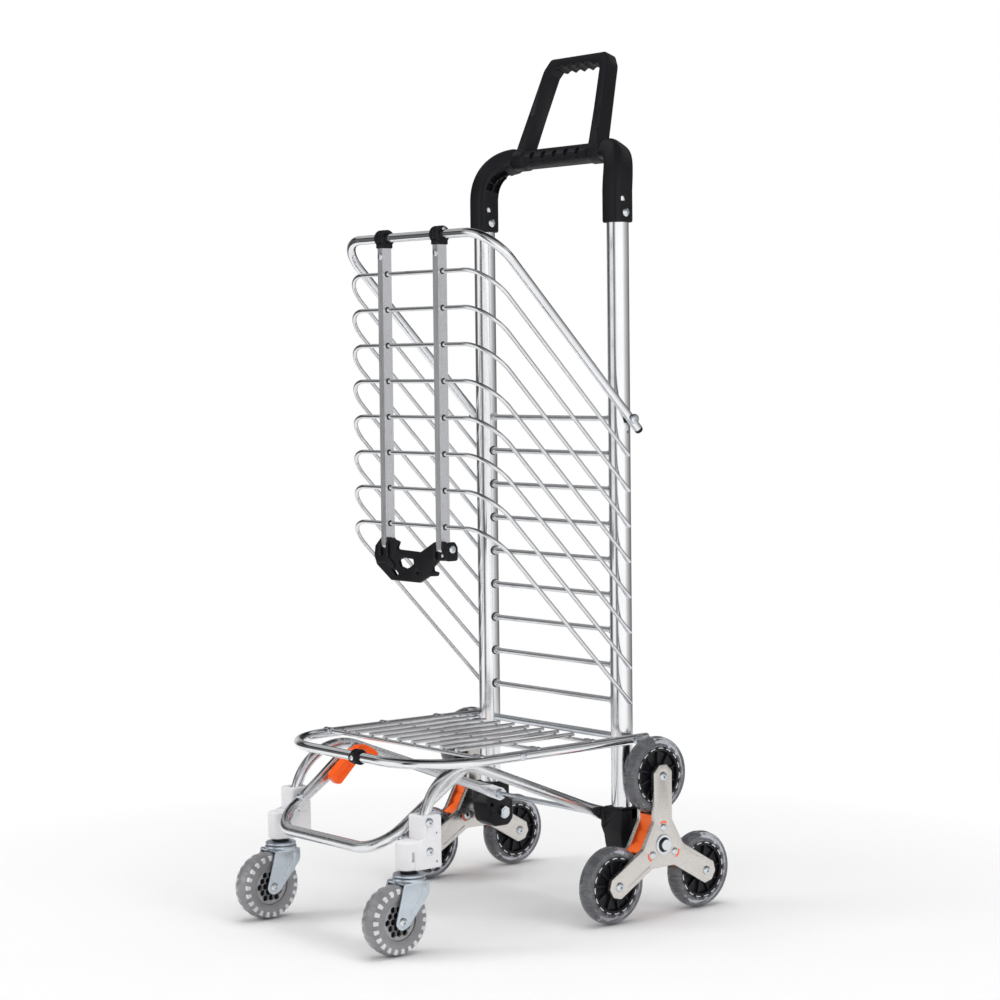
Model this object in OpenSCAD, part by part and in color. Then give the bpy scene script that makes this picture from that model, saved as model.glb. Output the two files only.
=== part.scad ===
// Folding stair climbing trolley: ladder back, wire basket, fold-up deck,
// swivelling front casters and a pair of three-wheel climbing stars.
// +Z is up, -Y is the front, +X is the right side seen from the front.

/* [Back frame] */
// Distance between the two upright tubes, centre to centre
post_gap = 236; // [220:1:240]
// Outside diameter of an upright
post_d = 25; // [24:0.5:26]
// Wall thickness of an upright
post_wall = 1.6; // [1.2:0.1:2]
// Height of the lowest ladder rung
first_level = 238; // [236:1:240]
// Vertical distance between rungs and between basket wires
level_pitch = 40; // [38:1:42]
// Diameter of a ladder rung
rung_d = 6; // [5:0.5:7]

/* [Handle] */
// Height of the crossbar under the grip loop
crossbar_z = 861; // [850:1:880]
// How far the crossbar sits behind the uprights
crossbar_back = 20; // [16:1:24]
// Height of the grip loop above the crossbar
loop_rise = 120; // [112:1:125]
// Backward lean of the grip loop in degrees
loop_lean = 18; // [12:1:20]

/* [Basket] */
// How far the basket reaches in front of the uprights
basket_reach = 201; // [195:1:205]
// How far the basket rises towards its front
basket_rise = 205; // [200:1:210]
// Diameter of a basket wire
wire_d = 4.6; // [4:0.2:5]
// Diameter of the rail round the mouth of the basket
rail_d = 10; // [9:0.5:11]
// Distance between the two hanging strips
strip_gap = 100; // [90:2:110]

/* [Deck] */
// Height of the deck tube
deck_z = 197; // [196:1:199]
// How far the deck reaches in front of the uprights
deck_reach = 302; // [290:1:305]
// Diameter of the deck tube
deck_d = 11; // [10:0.5:12.5]
// Half width of the deck at its hinge
deck_half = 140; // [139:0.5:142]
// Sideways splay of the deck tube in degrees
deck_splay = 0.5; // [0:0.5:2]

/* [Front legs] */
// Distance of the caster stems in front of the uprights
stem_reach = 303; // [298:1:306]
// Half distance between the casters
caster_half = 119; // [115:1:122]
// Diameter of the leg tubes
leg_d = 12; // [11.5:0.5:12.5]
// Radius of a caster wheel
caster_r = 37.5; // [35:0.5:38]
// How far a caster wheel trails its stem
caster_trail = 24; // [20:1:28]

/* [Climbing stars] */
// Distance from the star's axle to each wheel's axle
star_r = 77; // [76:0.5:79]
// Radius of a star wheel
star_wheel_r = 43.5; // [42:0.5:44]
// Distance of a star's middle from the centre plane
star_x = 165; // [164:0.5:168]
// How far the star's axle sits behind the uprights
star_back = 6; // [4:0.5:8]

/* [Hidden] */
$fn = 48;

// Running clearance on the radius of every pivot
run = 0.06;
// Slack on the radius where one fixed part sits in another
seat = 0.02;
eps = 0.01;
// A tube swells a little where it is bent, and its straights run into the bends
swell = 0.04;
lap = 0.5;

post_x = post_gap / 2;
post_r = post_d / 2;
post_top = 812;
post_foot = 96;
level_count = 9;
wire_count = 8;
top_level = first_level + (level_count - 1) * level_pitch;

wire_r = wire_d / 2;
wire_x = post_x + post_r + wire_r + 0.2;
arm_angle = atan2(basket_rise, basket_reach);
arm_length = norm([basket_reach, basket_rise]);
basket_corner = 42;
rail_r = rail_d / 2;
rail_x = post_x + post_r + rail_r + 1.6;
rail_tail = 15;

deck_r = deck_d / 2;
deck_axle_half = deck_half + deck_r + 1.75;
deck_corner = 80;
deck_tail = 18;
deck_rows = [-225, -145, -65];
deck_wire_z = deck_z + 3.5;
deck_wire_count = 9;
deck_wire_pitch = 26;
deck_ring_x = 25;
deck_axle_r = 4;

star_z = star_wheel_r + star_r / 2;
star_bolt_r = 4;
star_half = 14.5;
plate_t = 1.5;
arm_w = 27;

leg_r = leg_d / 2;
leg_pivot_y = -3;
leg_pivot_z = 105;
leg_root_x = 98;
leg_bend = 60;
leg_slope = 21.4;
leg_front = -286;
leg_run = norm([caster_half - leg_root_x, leg_front - leg_pivot_y]);
leg_turn = atan2(caster_half - leg_root_x, leg_pivot_y - leg_front);
leg_foot_z = 100;
// Middle of the leg's bend, forward of the pivot and above it
leg_bend_x = leg_run - leg_bend;
leg_bend_z = (sin(leg_slope) * leg_bend_x - leg_bend) / cos(leg_slope);
rod_r = 3;

foot_x = 98;
foot_r = 6.25;
foot_slope = 33;
foot_top_y = -212;
foot_top_z = 185;
foot_length = 142;
lever_pivot_y = -226;
lever_pivot_z = 181;

stem_y = -stem_reach;
wheel_y = stem_y - caster_trail;
stem_r = 5;
fork_top_z = 81;

// The origin is the middle of the footprint, so the uprights sit behind it
front_edge = stem_reach + caster_trail + caster_r;
rear_edge = star_back + star_r * cos(30) + star_wheel_r;
post_y = (front_edge - rear_edge) / 2;

// ---------- helpers ----------

// Moves geometry drawn round the uprights' plane to its place over the footprint
module place() {
  translate([0, post_y, 0]) children();
}

// Draws the right side as it is, and the left side as its mirror image
module on_side(side) {
  if (side > 0) children();
  else mirror([1, 0, 0]) children();
}

// Round bar along X from x1 to x2
module bar_x(x1, x2, y, z, r) {
  translate([x1, y, z]) rotate([0, 90, 0]) cylinder(h = x2 - x1, r = r);
}

// Round bar along Y from y1 to y2
module bar_y(y1, y2, x, z, r) {
  translate([x, y1, z]) rotate([-90, 0, 0]) cylinder(h = y2 - y1, r = r);
}

// Round bar between two points
module bar(a, b, r) {
  d = b - a;
  translate(a)
    rotate([0, acos(d[2] / norm(d)), atan2(d[1], d[0])])
      cylinder(h = norm(d), r = r);
}

// Part of a ring round Z, from one angle to another
module arc(radius, from, to, r) {
  rotate([0, 0, from])
    rotate_extrude(angle = to - from)
      translate([radius, 0]) circle(r = r);
}

// U of round bar lying flat, open at the back: arms at x = +-half at y = 0,
// front bar at y = -reach, arms splayed outwards towards the front
module bow(half, reach, corner, r, splay = 0, tail = 0) {
  turn = 90 + splay;
  corner_y = -reach + corner;
  arm_y = corner_y + corner * sin(splay);
  arm_x = half - arm_y * tan(splay);
  corner_x = arm_x - corner * cos(splay);
  arm = (tail - arm_y) / cos(splay);
  for (side = [-1, 1]) on_side(side)
    translate([corner_x, corner_y, 0]) rotate([0, 0, splay]) {
      translate([corner, -lap, 0]) rotate([-90, 0, 0]) cylinder(h = arm + lap, r = r);
      arc(corner, -turn, 0, r + swell);
    }
  bar_x(-corner_x - lap, corner_x + lap, -reach, 0, r);
}

// Rounded square with the given width, as a superellipse
function soft_square(w) = [
  for (i = [0 : 35])
    let (a = i * 10, c = cos(a), s = sin(a))
      w / 2 * [sign(c) * pow(abs(c), 0.5), sign(s) * pow(abs(s), 0.5)]
];

// Round-cornered block from the corner a, of size s, rounded about Z
module block(a, s, r) {
  translate([a[0] + r, a[1], a[2]]) cube([s[0] - 2 * r, s[1], s[2]]);
  translate([a[0], a[1] + r, a[2]]) cube([s[0], s[1] - 2 * r, s[2]]);
  for (x = [r, s[0] - r])
    for (y = [r, s[1] - r])
      translate([a[0] + x, a[1] + y, a[2]]) cylinder(h = s[2], r = r);
}

// ---------- back frame ----------

module upright(side) {
  color("silver") place() on_side(side) difference() {
    translate([post_x, 0, post_foot])
      cylinder(h = post_top - post_foot, r = post_r, $fn = 96);
    translate([post_x, 0, post_foot - 1])
      cylinder(h = post_top - post_foot + 2, r = post_r - post_wall, $fn = 96);
    for (i = [0 : level_count - 1])
      bar_x(post_x - post_r - 1, post_x, 0, first_level + i * level_pitch, rung_d / 2);
    for (i = [0 : wire_count - 1])
      bar_x(post_x, post_x + post_r + 1, 0, first_level + i * level_pitch, wire_r + run);
    bar_x(post_x, post_x + post_r + 1, 0, top_level, 3);
    bar_x(post_x - post_r - 1, post_x + post_r + 1, 0, deck_z, deck_axle_r);
    bar_x(post_x - post_r - 1, post_x + post_r + 1, 0, rivet_z, rivet_r);
  }
}

module left_upright() { upright(-1); }
module right_upright() { upright(1); }

// Each rung ends inside the uprights' walls, behind a rolled collar
module ladder_rungs() {
  collar_r = rung_d / 2 + 1.6;
  rung_half = post_x - post_r + post_wall / 2;
  color("silver") place()
    for (i = [0 : level_count - 1]) {
      z = first_level + i * level_pitch;
      bar_x(-rung_half, rung_half, 0, z, rung_d / 2);
      for (side = [-1, 1]) on_side(side)
        bar_x(post_x - post_r - 4.5, post_x - post_r - 0.05, 0, z, collar_r);
    }
}

// ---------- handle ----------

elbow_w = 28;
elbow_foot = 778;
elbow_end_x = 77.5;
rivet_z = 789;
rivet_r = 3;
handle_tube_r = 9;

// Cubic curve that the moulded elbow follows from the upright to the crossbar
function elbow_point(t) =
  let (u = 1 - t,
       a = [post_x, 0, 814], b = [post_x + 1, 1, 850],
       c = [post_x - 14, crossbar_back - 1, crossbar_z], d = [elbow_end_x, crossbar_back, crossbar_z])
    u * u * u * a + 3 * u * u * t * b + 3 * u * t * t * c + t * t * t * d;

// Thin slab across the elbow's curve
module elbow_slab(t, w) {
  p = elbow_point(t);
  d = t < 1 ? elbow_point(min(t + 0.01, 1)) - elbow_point(max(t - 0.01, 0)) : [-1, 0, 0];
  dir = d / norm(d);
  translate(p)
    rotate([0, acos(dir[2]), atan2(dir[1], dir[0])])
      rotate([0, 0, -atan2(dir[1], dir[0])])
        translate([0, 0, t < 1 ? -0.2 : -0.4]) linear_extrude(0.4) polygon(soft_square(w));
}

module elbow(side) {
  steps = [0, 0.22, 0.42, 0.62, 0.82, 1];
  color("dimgray") place() on_side(side) difference() {
    union() {
      translate([post_x, 0, elbow_foot]) linear_extrude(814 - elbow_foot) polygon(soft_square(elbow_w));
      for (i = [0 : len(steps) - 2])
        hull() {
          elbow_slab(steps[i], elbow_w - 3 * steps[i]);
          elbow_slab(steps[i + 1], elbow_w - 3 * steps[i + 1]);
        }
    }
    translate([post_x, 0, elbow_foot - 1])
      cylinder(h = post_top - elbow_foot + 1.2, r = post_r + 0.02, $fn = 96);
    bar_x(elbow_end_x - 1, elbow_end_x + 12, crossbar_back, crossbar_z, handle_tube_r + 0.02);
    bar_x(post_x - 20, post_x + 20, 0, rivet_z, rivet_r);
    // Half-moon drain hole in the outer face
    difference() {
      bar_x(post_x + 12, post_x + 20, -3, 802, 4);
      translate([post_x + 10, -10, 790]) cube([12, 20, 11]);
    }
  }
}

module left_elbow() { elbow(-1); }
module right_elbow() { elbow(1); }

// Steel tube that joins the two elbows and carries the grip loop
module handle_tube() {
  color("silver") place() difference() {
    bar_x(-elbow_end_x - 11, elbow_end_x + 11, crossbar_back, crossbar_z, handle_tube_r);
    bar_x(-elbow_end_x - 12, elbow_end_x + 12, crossbar_back, crossbar_z, handle_tube_r - 1.5);
  }
}

// One rivet through each elbow and upright, with a head on each side
module elbow_rivets() {
  color("silver") place() for (side = [-1, 1]) on_side(side) {
    bar_x(post_x - 14.5, post_x + 14.5, 0, rivet_z, rivet_r);
    for (end = [-1, 1])
      translate([post_x + end * 14.05, 0, rivet_z]) rotate([0, end * 90, 0])
        intersection() {
          translate([0, 0, -3]) sphere(r = 6.2);
          cylinder(h = 4, r = 5);
        }
  }
}

// D-shaped loop on a pierced sleeve that turns on the handle tube
module grip_loop() {
  sleeve_r = 11.5;
  sleeve_half = elbow_end_x - 0.5;
  depth = 22;
  outer = [[75, 0], [56, 109], [47, loop_rise], [-47, loop_rise], [-56, 109], [-75, 0]];
  opening = [[52, 9], [42, 100], [38, 105], [-38, 105], [-42, 100], [-52, 9]];
  color("dimgray") place() translate([0, crossbar_back, crossbar_z]) rotate([-loop_lean, 0, 0])
    difference() {
      union() {
        translate([0, depth / 2, 0]) rotate([90, 0, 0]) linear_extrude(depth) difference() {
          polygon(outer);
          polygon(opening);
          // Finger scallops under the top bar
          for (x = [-24 : 12 : 24]) translate([x, 103]) circle(r = 6);
        }
        bar_x(-sleeve_half, sleeve_half, 0, 0, sleeve_r);
        for (side = [-1, 1]) on_side(side) bar_x(58, sleeve_half, 0, 0, 12.8);
      }
      bar_x(-sleeve_half - 1, sleeve_half + 1, 0, 0, handle_tube_r + run);
      translate([-80, -20, -22]) cube([160, 40, 10]);
      // Five holes along the front of the sleeve
      for (x = [-40 : 20 : 40]) translate([x, 0, 0]) rotate([78, 0, 0]) cylinder(h = 16, r = 4);
    }
}

// ---------- basket ----------

rail_bolt_r = 3;

// Puts a flat bow at a pivot level, tilted up to the basket's slope
module tilted(z) {
  place() translate([0, 0, z]) rotate([-arm_angle, 0, 0]) children();
}

module basket_rail() {
  color("silver") tilted(top_level) difference() {
    bow(rail_x, arm_length, basket_corner, rail_r, 0, rail_tail);
    bow(rail_x, arm_length, basket_corner, rail_r - 1.2, 0, rail_tail + 1);
    for (side = [-1, 1]) on_side(side) bar_x(rail_x - 6, rail_x + 6, 0, 0, rail_bolt_r + run);
  }
}

// Rounded plugs in the two open ends of the rail
module rail_end_plugs() {
  color("dimgray") tilted(top_level) for (side = [-1, 1]) on_side(side)
    translate([rail_x, rail_tail, 0]) rotate([-90, 0, 0]) {
      translate([0, 0, -6]) cylinder(h = 6, r = rail_r - 1.2);
      cylinder(h = 1.5, r = rail_r);
      translate([0, 0, 1.5]) intersection() {
        sphere(r = rail_r);
        translate([0, 0, -eps]) cylinder(h = 3, r = rail_r);
      }
    }
}

// Shoulder bolts that hold the rail to the uprights, with a black spacer washer's seat
module rail_pivot_bolts() {
  color("dimgray") place() for (side = [-1, 1]) on_side(side) {
    bar_x(post_x + 4, rail_x + rail_r + 0.4, 0, top_level, rail_bolt_r);
    bar_x(rail_x + rail_r + 0.2, rail_x + rail_r + 2.6, 0, top_level, 5.5);
    bar_x(post_x + post_r + 0.05, post_x + post_r + 1.5, 0, top_level, 4.8);
  }
}

// One U-shaped wire: its ends turn inwards through the uprights' outer walls
module basket_wire(index) {
  color("silver") tilted(first_level + (index - 1) * level_pitch) {
    bow(wire_x, arm_length, basket_corner, wire_r);
    for (side = [-1, 1]) on_side(side) {
      translate([wire_x, 0, 0]) sphere(r = wire_r);
      bar_x(post_x + 6, wire_x, 0, 0, wire_r);
    }
  }
}

module basket_wire_1() { basket_wire(1); }
module basket_wire_2() { basket_wire(2); }
module basket_wire_3() { basket_wire(3); }
module basket_wire_4() { basket_wire(4); }
module basket_wire_5() { basket_wire(5); }
module basket_wire_6() { basket_wire(6); }
module basket_wire_7() { basket_wire(7); }
module basket_wire_8() { basket_wire(8); }

strip_x = strip_gap / 2;
strip_w = 9;
strip_t = 12.5;
strip_wall = 1.2;
strip_foot = 419;
strip_top = 752.5;
clip_rivet_z = 743;
clip_rivet_r = 2;
latch_pin_r = 2;

// Hollow strip that hangs from the rail and spaces the wires
module strip(side) {
  color("gainsboro") place() translate([side * strip_x, -basket_reach, 0]) difference() {
    union() {
      translate([-strip_w / 2, -strip_t / 2, strip_foot]) cube([strip_w, strip_t, strip_top - strip_foot]);
      bar_x(-strip_w / 2, strip_w / 2, 0, strip_foot, strip_t / 2);
    }
    translate([-strip_w / 2 + strip_wall, -strip_t / 2 + strip_wall, strip_foot + 7])
      cube([strip_w - 2 * strip_wall, strip_t - 2 * strip_wall, strip_top - strip_foot]);
    for (i = [0 : wire_count - 1])
      bar_x(-strip_w, strip_w, 0, first_level + basket_rise + i * level_pitch, wire_r + run);
    bar_y(-strip_t, -strip_t / 2 + strip_wall + 0.5, 0, clip_rivet_z, clip_rivet_r);
    bar_x(-strip_w, strip_w, 0, strip_foot, latch_pin_r + run);
  }
}

module left_strip() { strip(-1); }
module right_strip() { strip(1); }

// Ribbed clip round the rail, with a tongue riveted inside the top of each strip
module strip_clips() {
  clip_w = 13;
  clip_r = 8.6;
  tongue = strip_w - 2 * strip_wall - 0.1;
  color("dimgray") place() for (side = [-1, 1])
    translate([side * strip_x, -basket_reach, top_level + basket_rise]) difference() {
      union() {
        bar_x(-clip_w / 2, clip_w / 2, 0, 0, clip_r);
        for (x = [-clip_w / 2, -1, clip_w / 2 - 2]) bar_x(x, x + 2, 0, 0, clip_r + 0.9);
        translate([-tongue / 2, -5, -28]) cube([tongue, 10, 24]);
        translate([0, 0, clip_rivet_z - top_level - basket_rise]) {
          bar_y(-strip_t / 2 - 0.5, -4, 0, 0, clip_rivet_r);
          bar_y(-strip_t / 2 - 1.4, -strip_t / 2 - 0.02, 0, 0, 3.4);
        }
      }
      bar_x(-clip_w, clip_w, 0, 0, rail_r + run);
    }
}

// Moulded latch: a plate with a pocket and a pin for the foot of each strip
module basket_latch() {
  thick = 6;
  cheek_x = strip_w / 2 + 2;
  plate = [
    [-57, 427], [-42, 427.6], [-24, 423.4], [-29, 414.7], [15, 413.6], [40, 426],
    [53, 427.7], [71.5, 425.3], [72, 417.7], [65, 406.3], [47, 405.8], [36.4, 398],
    [36.4, 394], [48.8, 392.8], [45, 389.8], [12.6, 379], [-39, 379], [-66, 396],
    [-70, 406], [-68, 417]
  ];
  window = [[-19, 408], [6, 408], [7, 403], [1, 396], [-6, 400], [-12, 395], [-19, 401]];
  slot = [[-36, 394], [-31, 394], [-22, 387], [-28, 387]];
  color("dimgray") place() translate([0, -basket_reach, 0]) {
    difference() {
      translate([0, thick / 2, 0]) rotate([90, 0, 0]) linear_extrude(thick) difference() {
        polygon(plate);
        polygon(window);
        polygon(slot);
      }
      for (side = [-1, 1])
        translate([side * strip_x - cheek_x, -thick, strip_foot - 7.2]) cube([2 * cheek_x, 2 * thick, 30]);
    }
    for (side = [-1, 1]) {
      for (cheek = [-1, 1])
        translate([side * strip_x + cheek * cheek_x, 0, 0]) {
          bar_x(-1.7, 1.7, 0, strip_foot, 8);
          translate([-1.7, -7, strip_foot - 12]) cube([3.4, 14, 12]);
        }
      bar_x(side * strip_x - 8, side * strip_x + 8.6, 0, strip_foot, latch_pin_r);
    }
  }
}

// ---------- deck ----------

module deck_axle() {
  color("silver") place() {
    bar_x(-deck_axle_half, deck_axle_half, 0, deck_z, deck_axle_r);
    for (side = [-1, 1]) on_side(side)
      bar_x(deck_axle_half - 0.5, deck_axle_half + 2, 0, deck_z, 6);
  }
}

module deck_frame() {
  color("silver") place() translate([0, 0, deck_z]) difference() {
    bow(deck_half, deck_reach, deck_corner, deck_r, deck_splay, deck_tail);
    bow(deck_half, deck_reach, deck_corner, deck_r - 1.2, deck_splay, deck_tail + 1);
    bar_x(-deck_axle_half, deck_axle_half, 0, 0, deck_axle_r + run);
  }
}

// Half width of the deck tube's centre line at y
function deck_edge(y) = deck_half - y * tan(deck_splay);

// Wires across the deck, with a weld bead where each end enters the side tubes
module deck_cross_wires() {
  color("silver") place() difference() {
    for (y = deck_rows) {
      end_x = deck_edge(y);
      bar_x(-end_x, end_x, y, deck_wire_z, wire_r);
      for (side = [-1, 1]) on_side(side) bar_x(end_x - 7.5, end_x, y, deck_wire_z, wire_r + 0.8);
    }
    translate([0, 0, deck_z]) bow(deck_half, deck_reach, deck_corner, deck_r, deck_splay, deck_tail);
  }
}

// Wires that lie front to back on top of the cross wires
module deck_long_wires() {
  first_x = -(deck_wire_count - 1) / 2 * deck_wire_pitch;
  color("silver") place() for (i = [0 : deck_wire_count - 1]) {
    x = first_x + i * deck_wire_pitch;
    z = deck_wire_z + wire_d;
    bar([x, deck_rows[0] - 4, z], [x, deck_rows[2] + 4, z], wire_r);
  }
}

// Ring clamped round the deck's front bar, with its stud
module deck_ring() {
  color("dimgray") place() translate([deck_ring_x, -deck_reach, deck_z]) difference() {
    union() {
      bar_x(-5, 5, 0, 0, deck_r + 2.2);
      for (x = [-5, 3.4]) bar_x(x, x + 1.6, 0, 0, deck_r + 3);
      bar([0, -deck_r - 1.5, 0], [0, -deck_r - 5, 0], 4);
    }
    bar_x(-8, 8, 0, 0, deck_r + 0.01);
  }
}

// ---------- front legs ----------

// Draws in the leg's own plane: x runs forward from the pivot, y runs up
module in_leg_plane() {
  translate([leg_root_x, leg_pivot_y, leg_pivot_z])
    rotate([0, 0, -90 + leg_turn]) rotate([90, 0, 0]) children();
}

// Bent tube from the rear pivot, up and over to the caster bracket
module leg(side) {
  straight = leg_bend_x * cos(leg_slope) + leg_bend_z * sin(leg_slope);
  foot = leg_foot_z - leg_pivot_z;
  start = 34;
  flat_t = 3.8;
  flat_w = 15;
  color("silver") place() on_side(side) difference() {
    union() {
      in_leg_plane() {
        rotate([0, 0, leg_slope]) translate([start, 0, 0]) rotate([0, 90, 0])
          cylinder(h = straight + lap - start, r = leg_r);
        translate([leg_bend_x, leg_bend_z, 0]) arc(leg_bend, 0, 90 + leg_slope, leg_r + swell);
        translate([leg_run, foot, 0]) rotate([-90, 0, 0]) cylinder(h = leg_bend_z + lap - foot, r = leg_r);
        // Tube end pressed flat where it sits on the pivot rod
        hull() {
          rotate([0, 0, leg_slope]) translate([start + 2, 0, 0]) rotate([0, 90, 0])
            cylinder(h = 3, r = leg_r - 0.2, $fn = 32);
          rotate([0, 0, leg_slope]) translate([14, 0.2 - flat_w / 2, 0.1 - flat_t / 2])
            cube([1, flat_w - 0.4, flat_t - 0.2]);
        }
        rotate([0, 0, leg_slope]) translate([0, -flat_w / 2, -flat_t / 2]) cube([17, flat_w, flat_t]);
        translate([0, 0, -flat_t / 2]) cylinder(h = flat_t, r = flat_w / 2 + 0.3);
      }
    }
    bar_x(leg_root_x - 8, leg_root_x + 8, leg_pivot_y, leg_pivot_z, rod_r + run);
  }
}

module left_leg() { leg(-1); }
module right_leg() { leg(1); }

bracket_in = foot_x + foot_r + 0.8;
bracket_w = 2 * (caster_half - bracket_in);
bracket_out = bracket_in + bracket_w;
// The bracket's upper half is a little narrower than its foot
bracket_step = 1;
bracket_foot_top = 121;
screw_levels = [107, 138];
screw_y = -289;
screw_r = 2.2;
screw_start = caster_half + leg_r + 1;

// Moulded bracket that joins the leg, the foot bow and the caster stem
module leg_bracket(side) {
  color("whitesmoke") place() on_side(side) difference() {
    union() {
      block([bracket_in, -322, 88], [bracket_w, 49, bracket_foot_top - 88], 8);
      block([bracket_in + bracket_step, -298, 88], [bracket_w - 2 * bracket_step, 25, 58], 6);
    }
    translate([caster_half, leg_front, leg_foot_z])
      cylinder(h = leg_pivot_z + leg_bend_z + lap - leg_foot_z, r = leg_r + seat);
    in_leg_plane() translate([leg_bend_x, leg_bend_z, 0]) arc(leg_bend, 0, 24, leg_r + swell + seat);
    translate([caster_half, stem_y - 4, 80]) cylinder(h = 24, r = stem_r + seat);
    // Slot in the outer face
    translate([caster_half + bracket_w / 2 - 2, -310, 98]) cube([4, 3, 10]);
    for (z = screw_levels) bar_x(screw_start, bracket_out + 1, screw_y, z, screw_r);
  }
}

module left_leg_bracket() { leg_bracket(-1); }
module right_leg_bracket() { leg_bracket(1); }

// U-shaped foot tube in front of the casters, with the lever's stud
module foot_bow() {
  boss_z = foot_top_z - (foot_top_y - leg_front) * tan(foot_slope);
  color("silver") place() {
    difference() {
      union() {
        translate([0, foot_top_y, foot_top_z]) rotate([foot_slope, 0, 0])
          bow(foot_x, foot_length, 38, foot_r);
        bar_x(-foot_x + 2, -70.5, lever_pivot_y, lever_pivot_z, 2.5);
        bar_x(-72, -70, lever_pivot_y, lever_pivot_z, 4.5);
      }
      translate([0, foot_top_y, foot_top_z]) rotate([foot_slope, 0, 0])
        bow(foot_x, foot_length, 38, foot_r - 1.2, 0, 1);
    }
    // Bosses that join the tube to the upper halves of the two brackets
    for (side = [-1, 1]) on_side(side)
      bar_x(foot_x + foot_r - 1, bracket_in + bracket_step - 0.02, leg_front, boss_z, 5);
  }
}

// Two domed screws through each bracket
module bracket_screws() {
  color("lightsteelblue") place() for (side = [-1, 1]) on_side(side)
    for (z = screw_levels) {
      face = z > bracket_foot_top ? bracket_out - bracket_step : bracket_out;
      bar_x(screw_start, face + 0.5, screw_y, z, screw_r);
      translate([face, screw_y, z]) rotate([0, 90, 0]) intersection() {
        translate([0, 0, -3]) sphere(r = 5.6);
        translate([0, 0, 0.02]) cylinder(h = 4, r = 4.4);
      }
    }
}

// Stem and race plate on which each fork turns
module caster_stems() {
  color("silver") place() for (side = [-1, 1]) on_side(side)
    translate([caster_half, stem_y - 4, 0]) {
      translate([0, 0, fork_top_z + 0.3]) cylinder(h = 104 - fork_top_z - 0.3, r = stem_r);
      translate([0, 0, fork_top_z + 0.3]) cylinder(h = 4, r = 17);
      translate([0, 0, fork_top_z - 5]) cylinder(h = 5.5, r = 4);
    }
}

// Fixed bar that the lock lever is squeezed against
module grip_bar() {
  low = [-90, -299, 139];
  high = [-90, -246, 180];
  color("silver") place() {
    bar(low, high, 2.6);
    bar_x(-foot_x + 6.3, -86.5, low[1], low[2], 4);
    translate(high) sphere(r = 2.6);
  }
}

// Lever that frees the foot bow from the deck
module lock_lever() {
  thick = 11;
  color("orangered") place() translate([-85.5, 0, 0]) difference() {
    rotate([90, 0, 90]) linear_extrude(thick) {
      translate([lever_pivot_y, lever_pivot_z]) circle(r = 8);
      polygon([[-231, 188], [-220, 177], [-258, 146], [-269, 157]]);
      polygon([[-229, 173.5], [-208, 168], [-203, 179], [-222, 188.5]]);
      translate([-207, 174]) circle(r = 6.5);
    }
    bar_x(-1, thick + 1, lever_pivot_y, lever_pivot_z, 2.5 + run);
  }
}

// ---------- casters ----------

fork_in = 13.6;
fork_t = 2;
caster_axle_r = 3;

// Pressed fork, its crown and the wheel's axle bolt
module fork(side) {
  cheek = [
    [16, -2], [16, -22], [wheel_off + 7, wheel_drop - 4],
    [wheel_off - 7.5, wheel_drop], [-16, -14], [-16, -2]
  ];
  color("lightsteelblue") place() on_side(side) translate([caster_half, stem_y - 4, fork_top_z]) {
    difference() {
      union() {
        translate([0, 0, -5]) cylinder(h = 5, r = 18);
        translate([-fork_in - fork_t, -13, -5]) cube([2 * (fork_in + fork_t), 26, 3]);
        for (x = [-fork_in - fork_t, fork_in])
          translate([x, 0, 0]) difference() {
            union() {
              translate([0, 13, -20]) cube([fork_t, 3, 18]);
              rotate([90, 0, 90]) linear_extrude(fork_t) polygon(cheek);
              bar_x(0, fork_t, wheel_off, wheel_drop, 8);
            }
            bar_x(-1, fork_t + 1, wheel_off, wheel_drop, caster_axle_r);
          }
      }
      translate([0, 0, -8]) cylinder(h = 10, r = 4 + run);
    }
    bar_x(-fork_in - fork_t - 2.5, fork_in + fork_t + 2.5, wheel_off, wheel_drop, caster_axle_r);
    for (x = [-fork_in - fork_t - 3, fork_in + fork_t + 0.02])
      bar_x(x, x + 3, wheel_off, wheel_drop, 5.2);
  }
}

// Wheel axle seen from the fork's crown
wheel_off = -caster_trail + 4;
wheel_drop = caster_r - fork_top_z;

module left_fork() { fork(-1); }
module right_fork() { fork(1); }

tyre_in = 26;
caster_w = 24;

// Rounded tyre profile revolved about the wheel's axis
module tyre_ring(inner, outer, width, round_r) {
  rotate([0, 90, 0]) rotate_extrude($fn = 96) {
    translate([inner, -width / 2]) square([outer - inner - round_r, width]);
    translate([outer - round_r - eps, -width / 2 + round_r]) square([round_r + eps, width - 2 * round_r]);
    for (y = [-width / 2 + round_r, width / 2 - round_r])
      translate([outer - round_r, y]) intersection() {
        circle(r = round_r);
        translate([0, -round_r]) square([round_r, 2 * round_r]);
      }
  }
}

module caster_tyre(side) {
  color("lightgray") place() translate([side * caster_half, wheel_y, caster_r])
    tyre_ring(tyre_in, caster_r, caster_w, 8);
}

module caster_hub(side) {
  color("dimgray") place() translate([side * caster_half, wheel_y, caster_r]) difference() {
    union() {
      bar_x(-10, 10, 0, 0, tyre_in - 0.02);
      bar_x(-fork_in + 0.4, fork_in - 0.4, 0, 0, 7);
    }
    bar_x(-20, 20, 0, 0, caster_axle_r + run);
    for (s = [-1, 1]) on_side(s) difference() {
      bar_x(6, 11, 0, 0, tyre_in - 4);
      bar_x(5, 12, 0, 0, 9);
      for (a = [0 : 60 : 300]) rotate([a, 0, 0]) translate([5, -1.2, 0]) cube([7, 2.4, tyre_in]);
    }
  }
}

module left_caster_tyre() { caster_tyre(-1); }
module right_caster_tyre() { caster_tyre(1); }
module left_caster_hub() { caster_hub(-1); }
module right_caster_hub() { caster_hub(1); }

// ---------- lower brackets and climbing stars ----------

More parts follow.
